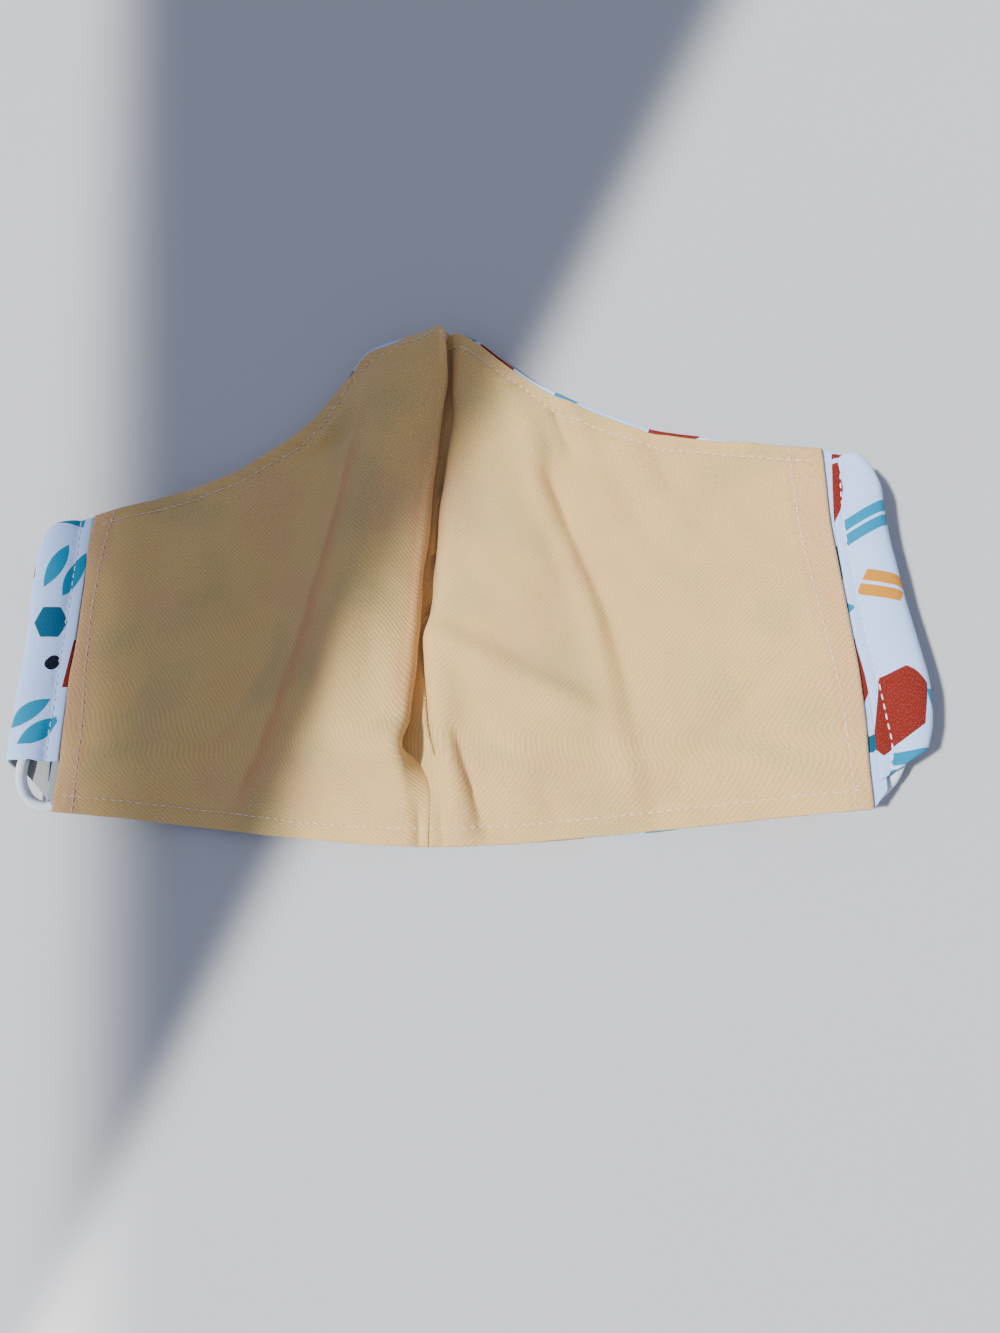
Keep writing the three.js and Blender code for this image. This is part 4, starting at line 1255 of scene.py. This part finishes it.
def painted_glow_and_shade_places(s, x, levels):
    """Where painted light and shade go on the left half of the lining: a bell of painted warm light across
    the turned edge of the fold, where light comes through the cloth, and a painted shadow line down the
    hump's outer slope, sharp on its outer side and fading on its inner."""
    turned = column(CENTRE_FOLD, "fold", levels) * s.half_width
    crest, foot = (column(LEFT_PANEL, name, levels) * s.half_width for name in ("crest", "foot"))
    past = x - mix(crest, foot, 0.77 - 0.5 * levels)
    line = np.exp(-((past / np.where(past < 0, 0.7 * MM, 4.5 * MM)) ** 2))
    line = line * smoothstep(0.02, 0.15, levels) * (1 - smoothstep(0.7, 0.95, levels))
    folded = smoothstep(0.2, 0.3, levels) * (1 - 0.6 * smoothstep(0.55, 0.8, levels))
    folded = folded * (1 - smoothstep(0.9, 1, levels))
    band = np.exp(-(((x - turned + 1.2 * MM) / (2.2 * MM)) ** 2)) * folded
    return np.maximum(0.6 * band, 0.8 * line)


class FACEMASK_OT_lining(bpy.types.Operator):
    """Adds the two halves of the twill lining with their hems"""

    bl_idname = "face_mask.lining"
    bl_label = "Lining"

    def execute(self, context):
        s = context.scene.mask_sizes
        material = shared("lining_twill", lining_material, context.scene.mask_finish)
        levels = crowded(ROWS)
        grid = surface(s, levels)
        for side in SIDES:
            half, facing, distances = cut_half(grid, side, STRIP_STEPS)
            from_seam, from_side, along, from_top = distances
            run = from_side if side == "left" else from_seam
            rim = np.minimum.reduce(distances)
            stitched = hem_line(side, levels)[:, None]
            hem = 1 - smoothstep(-HEM_SOFTNESS, HEM_SOFTNESS, from_side - stitched - HEM_FOLD_PAST)
            dents = (
                stitch_dents(from_top - s.topstitch_in, run, *EDGE_DENT)
                + stitch_dents(along - s.bottomstitch_in, run, *EDGE_DENT)
                + stitch_dents(from_side - stitched, along, *HEM_DENT)
            )
            dents *= smoothstep(*DENTS_FROM_SEAM, from_seam) * smoothstep(*DENTS_FROM_RIM, rim)
            middle = (s.ply_gap + s.cloth) / 2
            thick = s.cloth / 2 * rounded(rim, RIM_RADIUS)
            high = middle + thick + HEM_RISE * hem * rounded(rim, 2 * RIM_RADIUS) + dents
            low = np.where(rim < 1e-9, high, middle - thick)
            # Painted light and shade, on the left half only.
            glow = painted_glow_and_shade_places(s, half[..., 0], levels[:, None]) * (side == "left")
            uv = np.stack([from_seam, along], -1)
            sheet = shell(half, facing, low, high, uv, {"hem": hem, "glow": glow})
            add_cloth(s, f"lining_{side}", material, sheet)
        return {"FINISHED"}


def peek(x):
    """How far the outer's top edge stands out past the lining's at each place across."""
    right = 1.5 * smoothstep(2 * MM, 14 * MM, x) * (1 - 0.6 * smoothstep(72 * MM, 84 * MM, x))
    nose = 1.2 * smoothstep(1 * MM, 7 * MM, -x) * (1 - smoothstep(26 * MM, 38 * MM, -x))
    return (right + nose + 0.5 * smoothstep(4 * MM, 16 * MM, -x)) * MM


class FACEMASK_OT_outer(bpy.types.Operator):
    """Adds the two halves of the printed outer layer"""

    bl_idname = "face_mask.outer"
    bl_label = "Outer"

    def execute(self, context):
        s = context.scene.mask_sizes
        material = shared("printed_cloth", printed_material, context.scene.mask_finish)
        grid = surface(s, crowded(ROWS), peek)
        middle = -(s.ply_gap + s.cloth) / 2
        for side in SIDES:
            half, facing, distances = cut_half(grid, side, 0)
            from_seam, _, along, from_top = distances
            thick = s.cloth / 2 * rounded(np.minimum.reduce(distances), RIM_RADIUS)
            uv = np.stack([from_seam, along], -1)
            # The left half's upper face is its wrong side, painted grey as shade, except where the top edge
            # turns.
            wrong = smoothstep(*TOP_TURNING, from_top) * (side == "left")
            values = {"wrong_side": wrong}, {"wrong_side": 0 * wrong}
            sheet = shell(half, facing, middle - thick, middle + thick, uv, *values)
            sheet[0][:, 2] = np.maximum(sheet[0][:, 2], 0)
            add_cloth(s, f"outer_{side}", material, sheet)
        return {"FINISHED"}


class FACEMASK_OT_casings(bpy.types.Operator):
    """Adds the two printed casings that carry the ear loops"""

    bl_idname = "face_mask.casings"
    bl_label = "Casings"

    def execute(self, context):
        s = context.scene.mask_sizes
        material = shared("printed_cloth", printed_material, context.scene.mask_finish)
        for side in SIDES:
            grid = casing_surface(s, side)
            distances = from_edges(grid)
            across, _, along, _ = distances
            thick = CASING_THIN * s.cloth / 2 * rounded(np.minimum.reduce(distances), RIM_RADIUS)
            uv = np.stack([across, along], -1) + PRINT_SHIFT[side]
            # The casing's inner face is its wrong side, painted grey as shade.
            values = {"wrong_side": 0 * across}, {"wrong_side": 0 * across + 1}
            points, faces, *rest = shell(grid, normals(grid) * SIDES[side], -thick, thick, uv, *values)
            sheet = points, faces[:, :: SIDES[side]], *rest
            add_cloth(s, f"casing_{side}", material, sheet)
        return {"FINISHED"}


def casing_surface(s, side):
    """Middle surface of a casing's cloth: from its turned edge over the channel, round the outer fold and
    back under it to the outer's edge. Its upper wall is raised by gathers, sine waves along the casing
    that fade away from the stitching, and by a product of broad sine waves. A grid (levels, around, 3)."""
    levels = crowded(CASING_ROWS)
    width = column(CASING[side], "width", levels) * s.channel_width
    gape = column(CASING[side], "gape", levels)
    edge, stitch = (column(CASING[side], name, levels) * MM for name in ("edge", "stitch"))
    fold = s.hem_to_casing + s.tongue + width
    half = s.cord_diameter / 2 + s.cord_clearance + s.cloth / 2
    up, down = (half + s.channel_offset) * gape, (s.channel_offset - half) * gape
    tongue = ply(s) - s.cloth / 2 + 0 * levels
    span = fold - stitch
    joint = s.hem_to_casing + s.tongue
    keys = [
        (edge, tongue, 0),
        ((edge + stitch) / 2, tongue + 0.1 * MM, 0),
        (stitch, tongue, 0),
        (stitch + span * 0.14, mix(tongue, up, 0.5), 0),
        (stitch + span * 0.34, up * 0.9, 0),
        (stitch + span * 0.58, up, 0),
        (stitch + span * 0.82, up * 0.84, 0),
        (fold - 0.9 * MM, up * 0.5, 0),
        (fold - 0.5 * MM, s.channel_offset * gape, 0.5),
        (fold - 0.9 * MM, down * 0.5, 1),
        (stitch + span * 0.8, down * 0.88, 1),
        (stitch + span * 0.5, down, 1),
        (stitch + span * 0.24, down * 0.9, 1),
        (joint + 0.9 * MM, down * 0.62, 1),
        (joint + 0.2 * MM, down * 0.3, 1),
    ]
    keys = np.stack([np.stack(np.broadcast_arrays(x, z, wall * MM), -1) for x, z, wall in keys], 1)
    rows = catmull_rom(keys, CASING_STEPS, ease_ends=True)
    across, height, wall = rows[..., 0], rows[..., 1], np.clip(rows[..., 2] / MM, 0, 1)
    grid = casing_place(s, side, levels[:, None], across, height, wall)
    run = lengths(grid, 0)
    beside = np.maximum(across - stitch[:, None], 0)
    raised = smoothstep(0, 2 * MM, beside) * (1 - wall)
    gathers = np.sin(run / 0.0014 + 2.2 * np.sin(run / 0.0052)) * np.exp(-beside / (3 * MM))
    soft = np.sin(run / 0.0052 + 1.1) * np.sin(across / 0.0051 + run / 0.013)
    grid[..., 2] += (GATHER_HEIGHT * gathers + SOFT_HEIGHT * soft) * raised
    return grid


# Stitches: rings of each; height of its arch and how deep it is bedded, mm; least share of its thickness,
# squared, at its tips. Grid points left free at a hem's and at a casing's ends, and way left free at the
# lining's side edges. Height of the casing's stitches as a share of the cloth.
STITCH_RINGS = 7
STITCH_ARCH = 0.3
STITCH_BEDDED = 0.08
STITCH_TIP = 0.09
HEM_ENDS = 4
CASING_FREE = 3
SIDE_FREE = 2 * MM
CASING_STITCH_AT = 0.45


def thread_stitches(path, facing, s):
    """Stitches along a path on the cloth: threads of a fixed length at a fixed pitch, arched as a cosine.
    Their six sides are closed by two quads at each tip. Returns points and faces of them all."""
    along = distance_along(path)
    count = int(along[-1] / s.stitch_pitch)
    middle = (np.arange(count) + 0.5) * along[-1] / count
    t = np.linspace(-0.5, 0.5, STITCH_RINGS)
    at = middle[:, None] + t[None] * s.stitch_length
    line, up = at_distances(path, at, along), at_distances(facing, at, along)
    up /= np.linalg.norm(up, axis=-1, keepdims=True)
    tangent = line[:, -1:] - line[:, :1]
    tangent = tangent / np.linalg.norm(tangent, axis=-1, keepdims=True)
    beside = np.cross(up, tangent)
    arch = (np.cos(np.pi * t) * STITCH_ARCH - STITCH_BEDDED) * MM
    centre = line + up * arch[None, :, None]
    radius = s.thread / 2 * np.sqrt(np.maximum(1 - (2 * t) ** 4, STITCH_TIP))
    turn = np.linspace(0, 2 * np.pi, THREAD_SIDES, endpoint=False)[:, None]
    ring = beside[:, :, None] * np.cos(turn) + up[:, :, None] * np.sin(turn)
    points = centre[:, :, None] + ring * radius[None, :, None, None]
    index = np.arange(count * len(t) * THREAD_SIDES).reshape(count, len(t), THREAD_SIDES)
    wrap = np.roll(index, -1, axis=2)
    walls = np.stack([index[:, :-1], wrap[:, :-1], wrap[:, 1:], index[:, 1:]], -1).reshape(-1, 4)
    ends = index[:, 0, ::-1], index[:, -1]
    caps = [end[:, corners] for end in ends for corners in ([0, 1, 2, 3], [3, 4, 5, 0])]
    return points.reshape(-1, 3), np.concatenate([walls, *caps])


def add_stitches(s, name, lines, colour):
    """Adds the stitches of several lines, each a path and its normals, as one piece."""
    points, faces, count = [], [], 0
    for path, facing in lines:
        line_points, line_faces = thread_stitches(path, facing, s)
        points.append(line_points)
        faces.append(line_faces + count)
        count += len(line_points)
    thread = shared(f"{name}_thread", thread_material, f"{name}_thread", colour)
    placed = np.concatenate(points) + to_frame(s)
    piece = add_mesh(f"{name}_stitches", placed, np.concatenate(faces).tolist(), thread)


def at_distance(values, target, axis):
    """For each line along axis, the place between grid points where values reach target."""
    moved = np.moveaxis(values, axis, 0)
    target = np.broadcast_to(target, moved.shape[1:])
    rising = moved[-1].mean() > moved[0].mean()
    ordered = moved if rising else moved[::-1]
    i = np.clip((ordered < target[None]).sum(0) - 1, 0, len(ordered) - 2)
    low, high = np.take_along_axis(ordered, i[None], 0)[0], np.take_along_axis(ordered, i[None] + 1, 0)[0]
    place = i + (target - low) / np.maximum(high - low, 1e-12)
    return place if rising else len(ordered) - 1 - place


def sample(grid, place, axis):
    """Values of a grid at one place along axis for each line, linear between points."""
    moved = np.moveaxis(grid, axis, 0)
    i = np.clip(np.floor(place).astype(int), 0, len(moved) - 2)
    t = (place - i)[:, None]
    lines = np.arange(moved.shape[1])
    return moved[i, lines] * (1 - t) + moved[i + 1, lines] * t


class FACEMASK_OT_stitching(bpy.types.Operator):
    """Adds the stitching of the lining's edges, its side hems and the casings"""

    bl_idname = "face_mask.stitching"
    bl_label = "Stitching"

    def execute(self, context):
        s, finish = context.scene.mask_sizes, context.scene.mask_finish
        levels = crowded(ROWS)
        grid = surface(s, levels)
        main = np.s_[:, STRIP_STEPS:-STRIP_STEPS]
        cloth, n = grid[main], normals(grid)[main]
        across, back, along, down = from_edges(cloth)
        between = np.minimum(across, back)[ROWS // 2] > SIDE_FREE
        face = cloth + n * (ply(s) - THREAD_SINK)
        hem_face = face + n * HEM_STITCH_RISE
        lines = []
        for distance, target in ((down, s.topstitch_in), (along, s.bottomstitch_in)):
            place = at_distance(distance, target, 0)
            lines.append([sample(values, place, 0)[between] for values in (face, n)])
        for side, distance in zip(SIDES, (across, back)):
            place = at_distance(distance, hem_line(side, levels), 1)
            lines.append([sample(values, place, 1)[HEM_ENDS:-HEM_ENDS] for values in (hem_face, n)])
        add_stitches(s, "lining", lines, finish.lining_thread)
        lines = []
        for side in SIDES:
            grid = casing_surface(s, side)
            n = normals(grid)[:, CASING_STITCHED] * SIDES[side]
            path = grid[:, CASING_STITCHED] + n * (s.cloth * CASING_STITCH_AT - 0.05 * MM)
            lines.append([values[CASING_FREE:-CASING_FREE] for values in (path, n)])
        add_stitches(s, "casing", lines, finish.casing_thread)
        return {"FINISHED"}


class FACEMASK_PT_panel(bpy.types.Panel):
    """Lists the mask's settings and its pieces"""

    bl_idname = "FACEMASK_PT_panel"
    bl_label = "Cloth face mask"
    bl_space_type = "VIEW_3D"
    bl_region_type = "UI"
    bl_category = "Face mask"

    def draw(self, context):
        for operator in OPERATORS:
            self.layout.operator(operator.bl_idname)
        for group in (context.scene.mask_sizes, context.scene.mask_finish, context.scene.mask_stage):
            box = self.layout.box()
            for name in group.__annotations__:
                box.prop(group, name)


OPERATORS = (
    FACEMASK_OT_stage,
    FACEMASK_OT_ear_loops,
    FACEMASK_OT_outer,
    FACEMASK_OT_lining,
    FACEMASK_OT_casings,
    FACEMASK_OT_stitching,
)
GROUPS = {"mask_sizes": MaskSizes, "mask_finish": MaskFinish, "mask_stage": MaskStage}


def register():
    """Adds the settings, the operators and the sidebar panel."""
    for item in (*GROUPS.values(), *OPERATORS, FACEMASK_PT_panel):
        bpy.utils.register_class(item)
    for name, group in GROUPS.items():
        setattr(bpy.types.Scene, name, bpy.props.PointerProperty(type=group))


def unregister():
    """Takes them away again."""
    for name in GROUPS:
        delattr(bpy.types.Scene, name)
    for item in (FACEMASK_PT_panel, *reversed(OPERATORS), *GROUPS.values()):
        bpy.utils.unregister_class(item)


def main():
    """Builds the mask in order."""
    register()
    bpy.ops.face_mask.stage()
    bpy.ops.face_mask.ear_loops()
    bpy.ops.face_mask.outer()
    bpy.ops.face_mask.lining()
    bpy.ops.face_mask.casings()
    bpy.ops.face_mask.stitching()
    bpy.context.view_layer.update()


if __name__ == "__main__":
    main()
